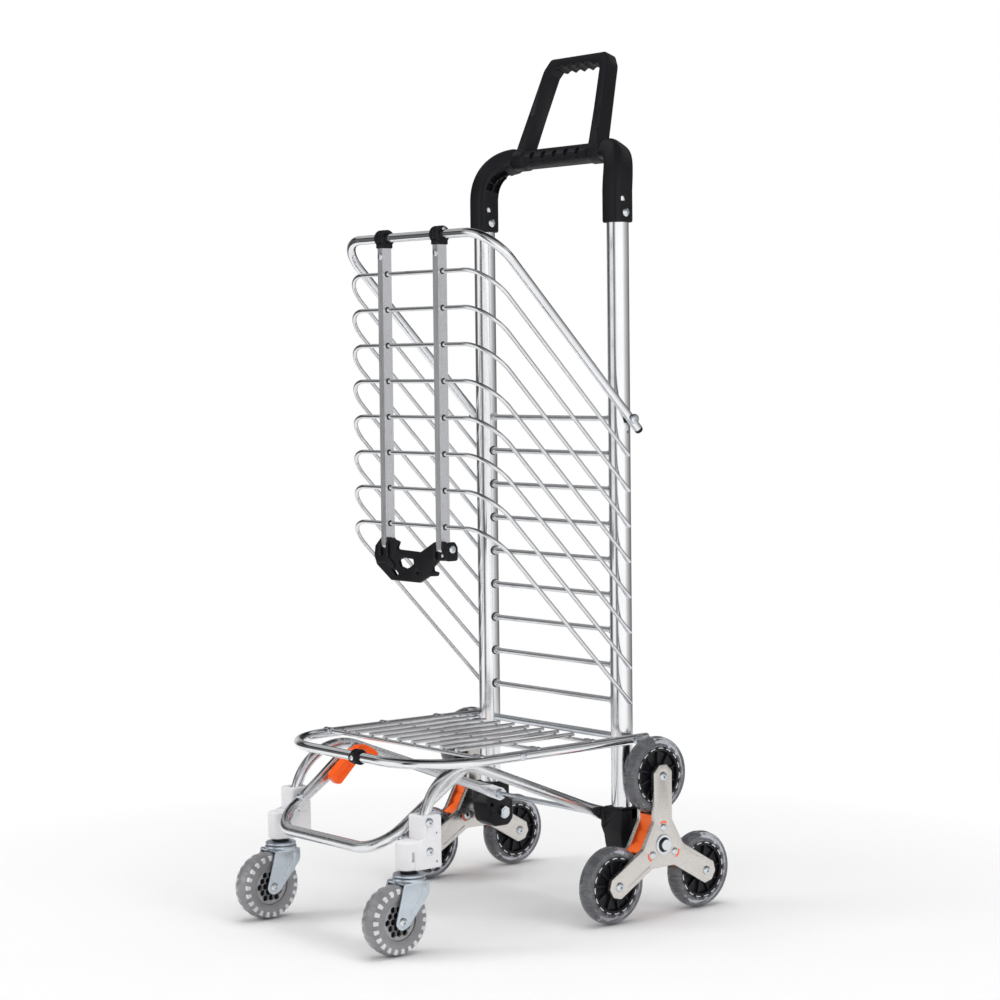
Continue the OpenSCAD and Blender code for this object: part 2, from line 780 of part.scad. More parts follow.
// Moulded bracket under each upright: holds the star's axle and the legs' pivot rod
module lower_bracket(side) {
  color("dimgray") place() on_side(side) difference() {
    union() {
      block([102.6, -16, 74], [30.6, 33, 44.5], 6);
      bar_x(102.6, 133.2, star_back, star_z, 15);
      bar_x(101, 107, leg_pivot_y, leg_pivot_z, 12);
      translate([101, leg_pivot_y - 11.5, 89.7]) cube([7, 23, 15.1]);
    }
    translate([post_x, 0, post_foot]) cylinder(h = 60, r = post_r + 0.02, $fn = 96);
    bar_x(90, 140, star_back, star_z, star_bolt_r + seat);
    bar_x(90, 140, leg_pivot_y, leg_pivot_z, rod_r + seat);
    // Moulded-in hole through the lug
    bar_x(95, 108, -10, 94.5, 2.6);
  }
}

module left_lower_bracket() { lower_bracket(-1); }
module right_lower_bracket() { lower_bracket(1); }

// Rod across the trolley on which both legs turn, with a nut inside each leg
module leg_pivot_rod() {
  color("silver") place() {
    bar_x(-105, 105, leg_pivot_y, leg_pivot_z, rod_r);
    for (side = [-1, 1]) on_side(side)
      translate([leg_root_x - 6.5, leg_pivot_y, leg_pivot_z]) rotate([0, 90, 0])
        cylinder(h = 4, r = 6.2, $fn = 6);
  }
}

// Axle bolt of each star, with its nut inside and a spacer outside the bracket
module star_axles() {
  spacer_x = star_x - star_half - 0.4;
  color("silver") place() for (side = [-1, 1]) on_side(side) {
    bar_x(97, star_x + star_half + 4.5, star_back, star_z, star_bolt_r);
    bar_x(133.25, spacer_x, star_back, star_z, 7.5);
    bar_x(star_x + star_half + 1, star_x + star_half + 4.5, star_back, star_z, 6);
    translate([97.5, star_back, star_z]) rotate([0, 90, 0]) cylinder(h = 5, r = 7, $fn = 6);
  }
}

// Moves to the star's centre, with its first arm along +Z
module at_star(side) {
  place() on_side(side) translate([star_x, star_back, star_z]) children();
}

module star_outline(w) {
  chamfer = 8;
  circle(r = 21);
  for (a = [0, 120, 240]) rotate([0, 0, a])
    polygon([[-w / 2, 0], [w / 2, 0], [w / 2, star_r + 13 - chamfer], [w / 2 - chamfer, star_r + 13],
             [chamfer - w / 2, star_r + 13], [-w / 2, star_r + 13 - chamfer]]);
}

// Draws a flat star outline as a plate standing across X, from x1 to x2
module star_slice(x1, x2) {
  translate([x1, 0, 0]) rotate([90, 0, 90]) linear_extrude(x2 - x1) children();
}

// Rings of bolts: wheel axles at the arm ends, rivets round the middle
module star_holes(axle_r, rivet) {
  for (a = [0, 120, 240]) rotate([a, 0, 0]) {
    bar_x(-30, 30, 0, star_r, axle_r);
    bar_x(-30, 30, 0, 19.5, rivet);
  }
}

star_rivet_r = 3;
wheel_axle_r = 4;

// The two pressed plates, each with a rolled edge turned towards the wheels
module star_plates(side) {
  lip = 2.6;
  lip_start = 38;
  color([0.76, 0.73, 0.71]) at_star(side) difference() {
    union() {
      for (s = [-1, 1]) on_side(s) {
        star_slice(star_half - plate_t, star_half) star_outline(arm_w);
        star_slice(star_half - plate_t - lip, star_half - plate_t + eps) difference() {
          star_outline(arm_w);
          star_outline(arm_w - 2.6);
          circle(r = lip_start);
        }
        // Embossed ribs along two of the arms
        for (a = [120, 240]) rotate([a, 0, 0])
          translate([star_half - eps, -8, 36]) cube([0.7, 1.6, 40]);
      }
    }
    star_holes(wheel_axle_r, star_rivet_r);
    bar_x(-30, 30, 0, 0, star_bolt_r + run + 1);
  }
}

// Moulded core clamped between the plates, hollowed round the wheels
module star_core(side) {
  inside = star_half - plate_t - 0.02;
  color("orangered") at_star(side) difference() {
    star_slice(-inside, inside) star_outline(arm_w - 0.6);
    for (a = [0, 120, 240]) rotate([a, 0, 0]) bar_x(-30, 30, 0, star_r, star_wheel_r + 1.5);
    for (a = [0, 120, 240]) rotate([a, 0, 0]) translate([-30, -20, star_r - 10]) cube([60, 40, 40]);
    for (a = [0, 120, 240]) rotate([a, 0, 0]) bar_x(-30, 30, 0, 19.5, star_rivet_r);
    bar_x(-30, 30, 0, 0, star_bolt_r + run);
  }
}

// Three wheel axles and three rivets, each with a head at both ends
module star_bolts(side) {
  color("silver") at_star(side) for (a = [0, 120, 240]) rotate([a, 0, 0]) {
    bar_x(-star_half - 0.5, star_half + 0.5, 0, star_r, wheel_axle_r);
    bar_x(-star_half - 0.5, star_half + 0.5, 0, 19.5, star_rivet_r);
    for (s = [-1, 1]) on_side(s) {
      bar_x(star_half + 0.02, star_half + 2.6, 0, star_r, 5.6);
      bar_x(star_half + 0.02, star_half + 1.8, 0, 19.5, 4.8);
    }
  }
}

// Wheel with a dished hub under an over-moulded tyre
module star_wheel(side, number) {
  width = 18;
  rim = 33;
  color([0.25, 0.25, 0.28]) at_star(side) rotate([(number - 1) * 120, 0, 0]) translate([0, 0, star_r])
    difference() {
      union() {
        tyre_ring(rim, star_wheel_r, width, 8);
        bar_x(-7.5, 7.5, 0, 0, rim + 0.5);
        bar_x(-10, 10, 0, 0, 9);
      }
      bar_x(-20, 20, 0, 0, wheel_axle_r + run);
      for (s = [-1, 1]) on_side(s) difference() {
        bar_x(3.5, 9, 0, 0, rim - 4);
        bar_x(3, 10, 0, 0, 12);
        for (a = [0 : 45 : 315]) rotate([a, 0, 0]) translate([3, -1.1, 0]) cube([7, 2.2, rim]);
      }
    }
}

module left_star_plates() { star_plates(-1); }
module left_star_core() { star_core(-1); }
module left_star_bolts() { star_bolts(-1); }
module right_star_plates() { star_plates(1); }
module right_star_core() { star_core(1); }
module right_star_bolts() { star_bolts(1); }
module left_star_wheel_1() { star_wheel(-1, 1); }
module left_star_wheel_2() { star_wheel(-1, 2); }
module left_star_wheel_3() { star_wheel(-1, 3); }
module right_star_wheel_1() { star_wheel(1, 1); }
module right_star_wheel_2() { star_wheel(1, 2); }
module right_star_wheel_3() { star_wheel(1, 3); }

left_upright();
right_upright();
ladder_rungs();
left_elbow();
right_elbow();
handle_tube();
elbow_rivets();
left_lower_bracket();
right_lower_bracket();
deck_axle();
leg_pivot_rod();
star_axles();
rail_pivot_bolts();
grip_loop();
basket_rail();
rail_end_plugs();
basket_wire_1();
basket_wire_2();
basket_wire_3();
basket_wire_4();
basket_wire_5();
basket_wire_6();
basket_wire_7();
basket_wire_8();
left_strip();
right_strip();
strip_clips();
basket_latch();
deck_frame();
deck_cross_wires();
deck_long_wires();
deck_ring();
left_leg();
right_leg();
left_leg_bracket();
right_leg_bracket();
foot_bow();
bracket_screws();
caster_stems();
grip_bar();
lock_lever();
left_fork();
left_caster_tyre();
left_caster_hub();
right_fork();
right_caster_tyre();
right_caster_hub();
left_star_plates();
left_star_core();
left_star_bolts();
right_star_plates();
right_star_core();
right_star_bolts();
left_star_wheel_1();
left_star_wheel_2();
left_star_wheel_3();
right_star_wheel_1();
right_star_wheel_2();
right_star_wheel_3();
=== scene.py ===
import math

import bmesh
import bpy
from mathutils import Matrix, Vector


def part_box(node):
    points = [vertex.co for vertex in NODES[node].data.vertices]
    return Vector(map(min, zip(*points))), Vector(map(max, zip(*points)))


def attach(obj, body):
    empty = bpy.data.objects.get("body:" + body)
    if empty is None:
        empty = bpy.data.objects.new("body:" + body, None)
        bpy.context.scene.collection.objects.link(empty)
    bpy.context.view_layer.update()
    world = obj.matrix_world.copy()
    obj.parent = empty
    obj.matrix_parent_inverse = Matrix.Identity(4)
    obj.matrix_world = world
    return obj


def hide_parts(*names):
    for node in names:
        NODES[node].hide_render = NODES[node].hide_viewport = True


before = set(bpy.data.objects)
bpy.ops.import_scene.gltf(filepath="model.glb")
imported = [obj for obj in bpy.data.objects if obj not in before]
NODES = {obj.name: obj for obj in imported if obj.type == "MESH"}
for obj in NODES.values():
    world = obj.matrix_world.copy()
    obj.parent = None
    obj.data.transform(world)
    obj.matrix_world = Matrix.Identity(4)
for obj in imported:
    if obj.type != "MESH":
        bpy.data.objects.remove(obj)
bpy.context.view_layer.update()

# The uprights stand at y = POST, and every length below is in millimetres from there
POST = sum(c.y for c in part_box("left_upright")) * 500
SIDES = (("left", -1), ("right", 1))

# Places that several pieces share
POST_X = 118
GRIP_Y, GRIP_Z = 20, 861  # the handle tube
LEAN = ("X", -18)  # backward lean of the grip loop
STRIP_X = 50
RAIL_Y, RAIL_Z = -201, 763  # front bar of the basket rail
LATCH_Z = 419
DECK_Z, DECK_HALF, DECK_REACH = 197, 140, 302
DECK_SPLAY = math.radians(0.5)
RING_X = 25
CASTER_X, STEM_Y = 119, -307
WHEEL_Y, WHEEL_R = -327, 37.5  # a caster's axle, and its radius, which is also its height
STAR_X, STAR_Y, STAR_Z = 165, 6, 82
ARM = 77  # from the star's axle to each wheel's axle
LEVER_X = -80
LUG_COUNT = 22


def at(x, y, z):
    """A point given from between the uprights, in metres in the shared frame."""
    return Vector((x, y + POST, z)) * 0.001


def local(x, y, z, *turns):
    """Matrix from millimetres round a point to the shared frame, after turns of (axis, degrees)."""
    m = Matrix.Translation(at(x, y, z))
    for axis, degrees in turns:
        m = m @ Matrix.Rotation(math.radians(degrees), 4, axis)
    return m @ Matrix.Scale(0.001, 4)


# ---------- mesh helpers ----------

def rounded(points, radius, steps=5):
    """The closed outline with its corners rounded. radius is one number, or one per corner."""
    out = []
    for i, p in enumerate(points):
        r = radius[i] if isinstance(radius, (list, tuple)) else radius
        a, b, c = Vector(points[i - 1]), Vector(p), Vector(points[(i + 1) % len(points)])
        u, v = a - b, c - b
        lu, lv = u.length, v.length
        u.normalize()
        v.normalize()
        angle = u.angle(v)
        if r <= 0 or angle > 3.1:
            out.append(b)
            continue
        t = min(r / math.tan(angle / 2), lu * 0.49, lv * 0.49)
        p0, p1 = b + u * t, b + v * t
        for k in range(steps + 1):
            s = k / steps
            out.append(p0 * (1 - s) ** 2 + b * (2 * s * (1 - s)) + p1 * s * s)
    return out


def circle(x, y, r, n=32):
    return [Vector((x + r * math.cos(2 * math.pi * i / n), y + r * math.sin(2 * math.pi * i / n)))
            for i in range(n)]


def area(loop):
    return sum(loop[i - 1].x * p.y - p.x * loop[i - 1].y for i, p in enumerate(loop)) / 2


def inset(loop, d):
    """The loop moved d to its left, which is into the solid."""
    out = []
    for i, b in enumerate(loop):
        u = (b - loop[i - 1]).normalized()
        v = (loop[(i + 1) % len(loop)] - b).normalized()
        n1, n2 = Vector((-u.y, u.x)), Vector((-v.y, v.x))
        out.append(b + (n1 + n2) * (d / max(1 + n1.dot(n2), 0.5)))
    return out


def plate(bm, place, loops, depth, bevel=0.8, steps=3):
    """Flat plate: first loop is its outline, the others are holes. It lies in local XY, and
    its thickness runs along local Z, with its rims rounded by bevel."""
    loops = [[Vector(p) for p in loop] for loop in loops]
    loops = [loop if (area(loop) > 0) == (i == 0) else loop[::-1] for i, loop in enumerate(loops)]
    low = []
    for k in range(steps + 1):
        a = math.pi / 2 * k / steps
        low.append((bevel * (1 - math.sin(a)), -depth / 2 + bevel * (1 - math.cos(a))))
    levels = low + [(i, -z) for i, z in reversed(low)]
    caps = ([], [])
    for loop in loops:
        rows = []
        for d, z in levels:
            ring = inset(loop, d) if d > 1e-6 else loop
            rows.append([bm.verts.new(place @ Vector((p.x, p.y, z))) for p in ring])
        n = len(loop)
        for a, b in zip(rows, rows[1:]):
            for i in range(n):
                j = (i + 1) % n
                bm.faces.new((a[i], a[j], b[j], b[i]))
        caps[0].append(rows[0])
        caps[1].append(rows[-1])
    for cap in caps:
        if len(cap) == 1:
            bm.faces.new(cap[0])
            continue
        edges = [bm.edges.get((ring[i - 1], ring[i])) for ring in cap for i in range(len(ring))]
        bmesh.ops.triangle_fill(bm, edges=edges, use_beauty=True)


def lathe(bm, place, profile, steps=48, wobble=None):
    """Closed profile of (along, radius) turned round local X. wobble(angle, along, radius)
    returns the radius at that place."""
    rows = []
    for i in range(steps):
        a = 2 * math.pi * i / steps
        row = []
        for u, r in profile:
            q = wobble(a, u, r) if wobble else r
            row.append(bm.verts.new(place @ Vector((u, q * math.cos(a), q * math.sin(a)))))
        rows.append(row)
    n = len(profile)
    for i, a in enumerate(rows):
        b = rows[(i + 1) % steps]
        for k in range(n):
            bm.faces.new((a[k - 1], a[k], b[k], b[k - 1]))


def sweep(bm, place, path, section):
    """section(t) gives the outline across the path at share t of its length."""
    rows = []
    side = None
    count = len(path)
    for i, p in enumerate(path):
        t = i / (count - 1)
        d = (path[min(i + 1, count - 1)] - path[max(i - 1, 0)]).normalized()
        if side is None:
            side = d.orthogonal().normalized() if abs(d.z) < 0.9 else Vector((1, 0, 0))
        side = (side - d * side.dot(d)).normalized()
        other = d.cross(side)
        rows.append([bm.verts.new(place @ (p + side * q[0] + other * q[1])) for q in section(t)])
    n = len(rows[0])
    for a, b in zip(rows, rows[1:]):
        for i in range(n):
            j = (i + 1) % n
            bm.faces.new((a[i], a[j], b[j], b[i]))
    bm.faces.new(rows[0])
    bm.faces.new(rows[-1])


def dome(bm, place, radius, height, socket=0.0, sides=6):
    """Button head on local X, with a recess of that radius."""
    profile = [(-0.4, 0), (-0.4, radius), (0, radius)]
    profile += [(height * math.sin(a), radius * math.cos(a) ** 0.6)
                for a in [math.radians(d) for d in (15, 30, 45, 60, 72)]]
    top = height
    if socket:
        profile += [(top * 0.99, socket * 1.15), (top * 0.9, socket),
                    (top * 0.35, socket * 0.95), (top * 0.35, 0)]
    else:
        profile += [(top, 0)]

    def flats(a, u, r):
        if socket and abs(r - socket) < 0.2 * socket and r > 0:
            k = (a % (2 * math.pi / sides)) - math.pi / sides
            return r * math.cos(math.pi / sides) / math.cos(k)
        return r
    lathe(bm, place, profile, 36, flats)


SHARP = math.radians(38)


def piece(name, bm, mat, body, nodes=()):
    """Makes bm an object that rides on body, in place of the CAD nodes named."""
    bmesh.ops.remove_doubles(bm, verts=bm.verts, dist=2e-6)
    bmesh.ops.dissolve_degenerate(bm, edges=bm.edges, dist=1e-6)
    bmesh.ops.recalc_face_normals(bm, faces=bm.faces)
    mesh = bpy.data.meshes.new(name)
    bm.to_mesh(mesh)
    bm.free()
    mesh.polygons.foreach_set("use_smooth", [True] * len(mesh.polygons))
    mesh.set_sharp_from_angle(angle=SHARP)
    mesh.materials.append(mat)
    obj = bpy.data.objects.new(name, mesh)
    bpy.context.scene.collection.objects.link(obj)
    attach(obj, body)
    if nodes:
        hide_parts(*nodes)
    return obj


def cut(obj, bm):
    """Takes the closed cutters in bm out of obj's mesh."""
    bmesh.ops.recalc_face_normals(bm, faces=bm.faces)
    mesh = bpy.data.meshes.new("cutter")
    bm.to_mesh(mesh)
    bm.free()
    tool = bpy.data.objects.new("cutter", mesh)
    bpy.context.scene.collection.objects.link(tool)
    mod = obj.modifiers.new("cut", "BOOLEAN")
    mod.operation = "DIFFERENCE"
    mod.solver = "EXACT"
    mod.use_self = True
    mod.object = tool
    done = bpy.data.meshes.new_from_object(obj.evaluated_get(bpy.context.evaluated_depsgraph_get()))
    obj.modifiers.remove(mod)
    bpy.data.objects.remove(tool)
    done.name = obj.name
    done.polygons.foreach_set("use_smooth", [True] * len(done.polygons))
    done.set_sharp_from_angle(angle=SHARP)
    obj.data = done


# ---------- materials ----------

class Tree:
    """A material's node tree, with short calls for the nodes it needs."""

    def __init__(self, name):
        self.mat = bpy.data.materials.new(name)
        self.mat.use_nodes = True
        self.nodes = self.mat.node_tree.nodes
        self.links = self.mat.node_tree.links
        self.shader = self.nodes["Principled BSDF"]
        self.coord = self.nodes.new("ShaderNodeTexCoord").outputs["Object"]

    def put(self, socket, value):
        if hasattr(value, "is_output"):
            self.links.new(value, socket)
        else:
            socket.default_value = value

    def noise(self, scale, stretch=(1, 1, 1), detail=4.0, rough=0.55, warp=0.0):
        mapping = self.nodes.new("ShaderNodeMapping")
        mapping.inputs["Scale"].default_value = stretch
        self.links.new(self.coord, mapping.inputs["Vector"])
        node = self.nodes.new("ShaderNodeTexNoise")
        node.inputs["Scale"].default_value = scale
        node.inputs["Detail"].default_value = detail
        node.inputs["Roughness"].default_value = rough
        node.inputs["Distortion"].default_value = warp
        self.links.new(mapping.outputs[0], node.inputs["Vector"])
        return node.outputs["Fac"]

    def cells(self, scale):
        node = self.nodes.new("ShaderNodeTexVoronoi")
        node.inputs["Scale"].default_value = scale
        self.links.new(self.coord, node.inputs["Vector"])
        return node.outputs["Distance"]

    def fit(self, value, low, high, to_low=0.0, to_high=1.0):
        node = self.nodes.new("ShaderNodeMapRange")
        node.inputs["From Min"].default_value = low
        node.inputs["From Max"].default_value = high
        node.inputs["To Min"].default_value = to_low
        node.inputs["To Max"].default_value = to_high
        self.links.new(value, node.inputs["Value"])
        return node.outputs["Result"]

    def maths(self, kind, a, b):
        node = self.nodes.new("ShaderNodeMath")
        node.operation = kind
        self.put(node.inputs[0], a)
        self.put(node.inputs[1], b)
        return node.outputs[0]

    def mix(self, share, a, b):
        node = self.nodes.new("ShaderNodeMix")
        node.data_type = "RGBA"
        self.put(node.inputs["Factor"], share)
        self.put(node.inputs["A"], a)
        self.put(node.inputs["B"], b)
        return node.outputs["Result"]

    def edges(self):
        """1 on worn convex edges, 0 elsewhere."""
        geometry = self.nodes.new("ShaderNodeNewGeometry")
        return self.fit(geometry.outputs["Pointiness"], 0.52, 0.62)

    def bump(self, height, strength, distance):
        node = self.nodes.new("ShaderNodeBump")
        node.inputs["Strength"].default_value = strength
        node.inputs["Distance"].default_value = distance
        self.links.new(height, node.inputs["Height"])
        self.links.new(node.outputs["Normal"], self.shader.inputs["Normal"])

    def set(self, **values):
        for name, value in values.items():
            self.put(self.shader.inputs[name.replace("_", " ")], value)


def rgba(c, k=1.0):
    return (c[0] * k, c[1] * k, c[2] * k, 1.0)


def metal(name, colour, rough, spread=0.06, draw=(1, 1, 1), lines=0.35, dull=0.0, dent=0.00002):
    """Drawn or rolled metal: fine lines along the drawing direction, cloudy handling marks,
    duller patches and rubbed edges."""
    t = Tree(name)
    cloud = t.noise(14, detail=5)
    fine = t.noise(900, draw, detail=3)
    spots = t.fit(t.noise(160, detail=6, rough=0.7), 0.56, 0.74)
    base = t.mix(t.fit(cloud, 0.35, 0.7), rgba(colour, 1 - spread), rgba(colour, 1 + spread * 0.4))
    base = t.mix(t.maths("MULTIPLY", spots, 0.12), base, rgba(colour, 0.75))
    base = t.mix(t.maths("MULTIPLY", t.edges(), 0.25), base, rgba((0.93, 0.93, 0.94)))
    gloss = t.maths("ADD", t.fit(fine, 0.3, 0.75, rough * (1 - lines), rough * (1 + lines)),
                    t.maths("MULTIPLY", t.fit(cloud, 0.4, 0.75), 0.03 + dull))
    t.set(Base_Color=base, Metallic=1.0, Roughness=t.maths("ADD", gloss, t.maths("MULTIPLY", spots, 0.04)))
    t.bump(t.maths("ADD", fine, t.maths("MULTIPLY", t.noise(45), 1.6)), 0.25, dent)
    return t.mat


def plastic(name, colour, rough, grain=0.00006, spread=0.12, dust=0.0, edge=None, spec=0.5):
    """Moulded plastic: spark-eroded grain, faint flow marks, dust and rubbed edges."""
    t = Tree(name)
    cloud = t.noise(22, detail=5)
    flow = t.noise(60, (1, 1, 0.25), detail=4, warp=0.6)
    fine = t.noise(1500, detail=3, rough=0.7)
    base = t.mix(t.fit(cloud, 0.35, 0.7), rgba(colour, 1 - spread), rgba(colour, 1 + spread))
    base = t.mix(t.fit(flow, 0.55, 0.75, 0, 0.3), base, rgba(colour, 1 + spread * 2))
    rub = edge or tuple(min(1, c * 1.6 + 0.04) for c in colour)
    base = t.mix(t.maths("MULTIPLY", t.edges(), 0.55), base, rgba(rub))
    if dust:
        specks = t.fit(t.noise(700, detail=2, rough=0.8), 0.68, 0.76)
        base = t.mix(t.maths("MULTIPLY", specks, dust), base, rgba((0.5, 0.49, 0.48)))
    gloss = t.maths("ADD", t.fit(fine, 0.3, 0.7, rough - 0.06, rough + 0.08),
                    t.fit(cloud, 0.4, 0.7, 0.0, 0.07))
    t.set(Base_Color=base, Roughness=gloss, Specular_IOR_Level=spec)
    t.bump(t.maths("ADD", fine, t.maths("MULTIPLY", flow, 0.8)), 0.5, grain)
    return t.mat


def clear_rubber(name, colour, depth, rough, glass=0.55):
    """Smoky see-through tyre: mould haze, fine bubbles, and scuffs of the depth colour."""
    t = Tree(name)
    cloud = t.noise(30, detail=5)
    scuff = t.fit(t.noise(120, detail=6, rough=0.75), 0.5, 0.72)
    bubble = t.fit(t.cells(900), 0.0, 0.22, 1.0, 0.0)
    base = t.mix(t.fit(cloud, 0.35, 0.7), rgba(colour, 0.85), rgba(colour, 1.12))
    base = t.mix(t.maths("MULTIPLY", scuff, 0.15), base, rgba(depth))
    base = t.mix(t.maths("MULTIPLY", bubble, 0.08), base, rgba((0.9, 0.9, 0.92)))
    t.set(Base_Color=base, Roughness=t.fit(scuff, 0, 1, rough, rough + 0.10), IOR=1.47,
          Transmission_Weight=t.fit(scuff, 0, 1, glass, glass * 0.9), Coat_Weight=0.3, Coat_Roughness=0.1)
    t.bump(t.noise(420, detail=4), 0.12, 0.00002)
    return t.mat


ALU = metal("polished_aluminium", (0.80, 0.81, 0.83), 0.17, draw=(1, 1, 0.02), lines=0.3)
ALU_SOFT = metal("satin_aluminium", (0.82, 0.83, 0.85), 0.24, draw=(0.3, 0.3, 0.3), lines=0.15, dent=0.000006)
RAIL = metal("bright_tube", (0.84, 0.85, 0.87), 0.08, draw=(0.2, 0.2, 0.2), lines=0.3, dent=0.000008)
WIRE = metal("bright_wire", (0.76, 0.77, 0.79), 0.15, draw=(0.3, 0.3, 0.3), lines=0.3, dent=0.00001)
STRIP = metal("flat_strip", (0.76, 0.77, 0.80), 0.30, draw=(1, 1, 0.03), lines=0.3)
ZINC = metal("zinc_steel", (0.60, 0.66, 0.72), 0.30, spread=0.14, lines=0.25, dull=0.06)
PLATE = metal("nickel_plate", (0.70, 0.67, 0.64), 0.27, draw=(0.2, 1, 1), lines=0.25, dull=0.03)
BOLT = metal("bolt_steel", (0.72, 0.76, 0.80), 0.22, spread=0.12, lines=0.25)
BLACK = plastic("black_grained_plastic", (0.006, 0.006, 0.008), 0.36, grain=0.00008, dust=0.03,
                edge=(0.03, 0.03, 0.035), spec=0.22)
HUB = plastic("black_hub_plastic", (0.006, 0.006, 0.008), 0.3, grain=0.00004, dust=0.05,
              edge=(0.04, 0.04, 0.05), spec=0.25)
WHITE = plastic("pale_grey_plastic", (0.74, 0.73, 0.75), 0.38, spread=0.05, dust=0.05,
                edge=(0.86, 0.86, 0.87))
ORANGE = plastic("orange_plastic", (1.0, 0.115, 0.008), 0.3, spread=0.06, dust=0.02,
                 edge=(1.0, 0.2, 0.04), spec=0.3)
HONEY = plastic("grey_rib_plastic", (0.30, 0.30, 0.31), 0.35, spread=0.08, dust=0.05)
SMOKE = clear_rubber("smoky_tyre", (0.52, 0.53, 0.58), (0.38, 0.38, 0.42), 0.08, 0.85)
CASTER = clear_rubber("caster_tyre", (0.38, 0.38, 0.40), (0.30, 0.30, 0.32), 0.2, 0.45)
# Pale colour of the caster tyres' lug blocks: a painted highlight
LUG_HIGHLIGHT = clear_rubber("tyre_lug_painted_highlight", (0.88, 0.88, 0.90), (0.74, 0.74, 0.76), 0.12, 0.25)
# Dark colour for the seats at the posts, and painted shade in the strips' wire holes
DARK = plastic("dark_seat_and_painted_shade", (0.006, 0.006, 0.007), 0.6, spread=0.2)


def paint(mat, *names):
    """Gives CAD nodes their material."""
    for name in names:
        node = NODES[name]
        node.data.materials.clear()
        node.data.materials.append(mat)


paint(ALU, "left_upright", "right_upright", "handle_tube")
paint(WIRE, "ladder_rungs", "deck_cross_wires", "deck_long_wires", "grip_bar",
      *["basket_wire_%d" % i for i in range(1, 9)])
paint(RAIL, "basket_rail", "deck_frame")
paint(ALU_SOFT, "left_leg", "right_leg", "foot_bow")
paint(STRIP, "left_strip", "right_strip")
paint(BOLT, "elbow_rivets", "deck_axle", "leg_pivot_rod", "star_axles", "bracket_screws",
      "left_star_bolts", "right_star_bolts")
paint(ZINC, "caster_stems", "left_fork", "right_fork")
paint(PLATE, "left_star_plates", "right_star_plates")
paint(ORANGE, "left_star_core", "right_star_core", "lock_lever")
paint(BLACK, "left_elbow", "right_elbow", "left_lower_bracket", "right_lower_bracket",
      "rail_pivot_bolts", "grip_loop", "rail_end_plugs", "strip_clips", "basket_latch", "deck_ring")
paint(WHITE, "left_leg_bracket", "right_leg_bracket")
paint(HUB, "left_caster_hub", "right_caster_hub")
paint(CASTER, "left_caster_tyre", "right_caster_tyre")
paint(SMOKE, *["%s_star_wheel_%d" % (s, i) for s, _ in SIDES for i in (1, 2, 3)])

# ---------- grip loop and elbows ----------

FACE_FRONT = (("X", 90),)
FACE_SIDE = (("Z", 90), ("X", 90))


def soft_square(w, n=40):
    """Section of the elbow, between a square and a circle."""
    out = []
    for i in range(n):
        a = 2 * math.pi * i / n
        c, s = math.cos(a), math.sin(a)
        out.append((w / 2 * math.copysign(abs(c) ** 0.5, c), w / 2 * math.copysign(abs(s) ** 0.5, s)))
    return out


def ball(bm, place, r):
    profile = [(-r * math.cos(math.pi * k / 10), max(r * math.sin(math.pi * k / 10), 0)) for k in range(11)]
    lathe(bm, place, profile, 20)


bm = bmesh.new()
outer = rounded([(75, -3), (57, 108), (48, 121.5), (-48, 121.5), (-57, 108), (-75, -3)],
                [3, 12, 7, 7, 12, 3], 7)
rise = rounded([(55, 8), (50, 52), (43, 102), (38, 109), (-38, 109), (-43, 102), (-50, 52), (-55, 8)],
               [2, 60, 6, 0, 0, 6, 60, 2], 6)
rise = [p for p in rise if abs(p.x) > 33]
half = len(rise) // 2
fingers = [Vector((30 - x, 107 + 3.8 * abs(math.sin(math.pi * x / 15)) ** 0.7)) for x in range(61)]
upright = Matrix.Rotation(math.radians(90), 4, "X")
plate(bm, local(0, GRIP_Y, GRIP_Z, LEAN) @ Matrix.Translation((0, -2.2, 0)) @ upright,
      [outer, rise[:half] + fingers + rise[half:]], 17.6, 2.4, 4)
profile = rounded([(-77, 9.4), (-77, 12.9), (-59, 12.9), (-55, 11.6), (55, 11.6), (59, 12.9), (77, 12.9),
                   (77, 9.4)], [0, 1.2, 2, 2, 2, 2, 1.2, 0], 4)
lathe(bm, local(0, GRIP_Y, GRIP_Z, LEAN), profile, 64)
grip = piece("grip_moulding", bm, BLACK, "grip", ["grip_loop"])
bm = bmesh.new()
for x in (-40, -20, 0, 20, 40):
    lathe(bm, local(x, GRIP_Y, GRIP_Z, LEAN, ("Z", -90)), [(9.25, 0), (9.25, 4.2), (16, 4.2), (16, 0)], 24)
    dash = rounded([(-2.6, -0.9), (2.6, -0.9), (2.6, 0.9), (-2.6, 0.9)], 0.8, 3)
    plate(bm, local(x, GRIP_Y, GRIP_Z, LEAN, ("X", 38), *FACE_FRONT) @ Matrix.Translation((0, 0, 12)),
          [dash], 2, 0.2, 1)
for side in (-1, 1):
    for x, z in ((66.5, 24), (61.5, 50)):
        ball(bm, local(side * x, GRIP_Y, GRIP_Z, LEAN) @ Matrix.Translation((0, -11.4, z)), 1.9)
cut(grip, bm)

# The elbow's middle line: control points from the post to the handle tube
START, LIFT, PULL, END = (Vector(p) for p in (
    (POST_X, 0, 814), (119, 1, 850), (104, 19, GRIP_Z), (77.6, GRIP_Y, GRIP_Z)))


def bend(t):
    """Point at share t of the elbow's bend."""
    u = 1 - t
    return START * u ** 3 + LIFT * (3 * u * u * t) + PULL * (3 * u * t * t) + END * t ** 3


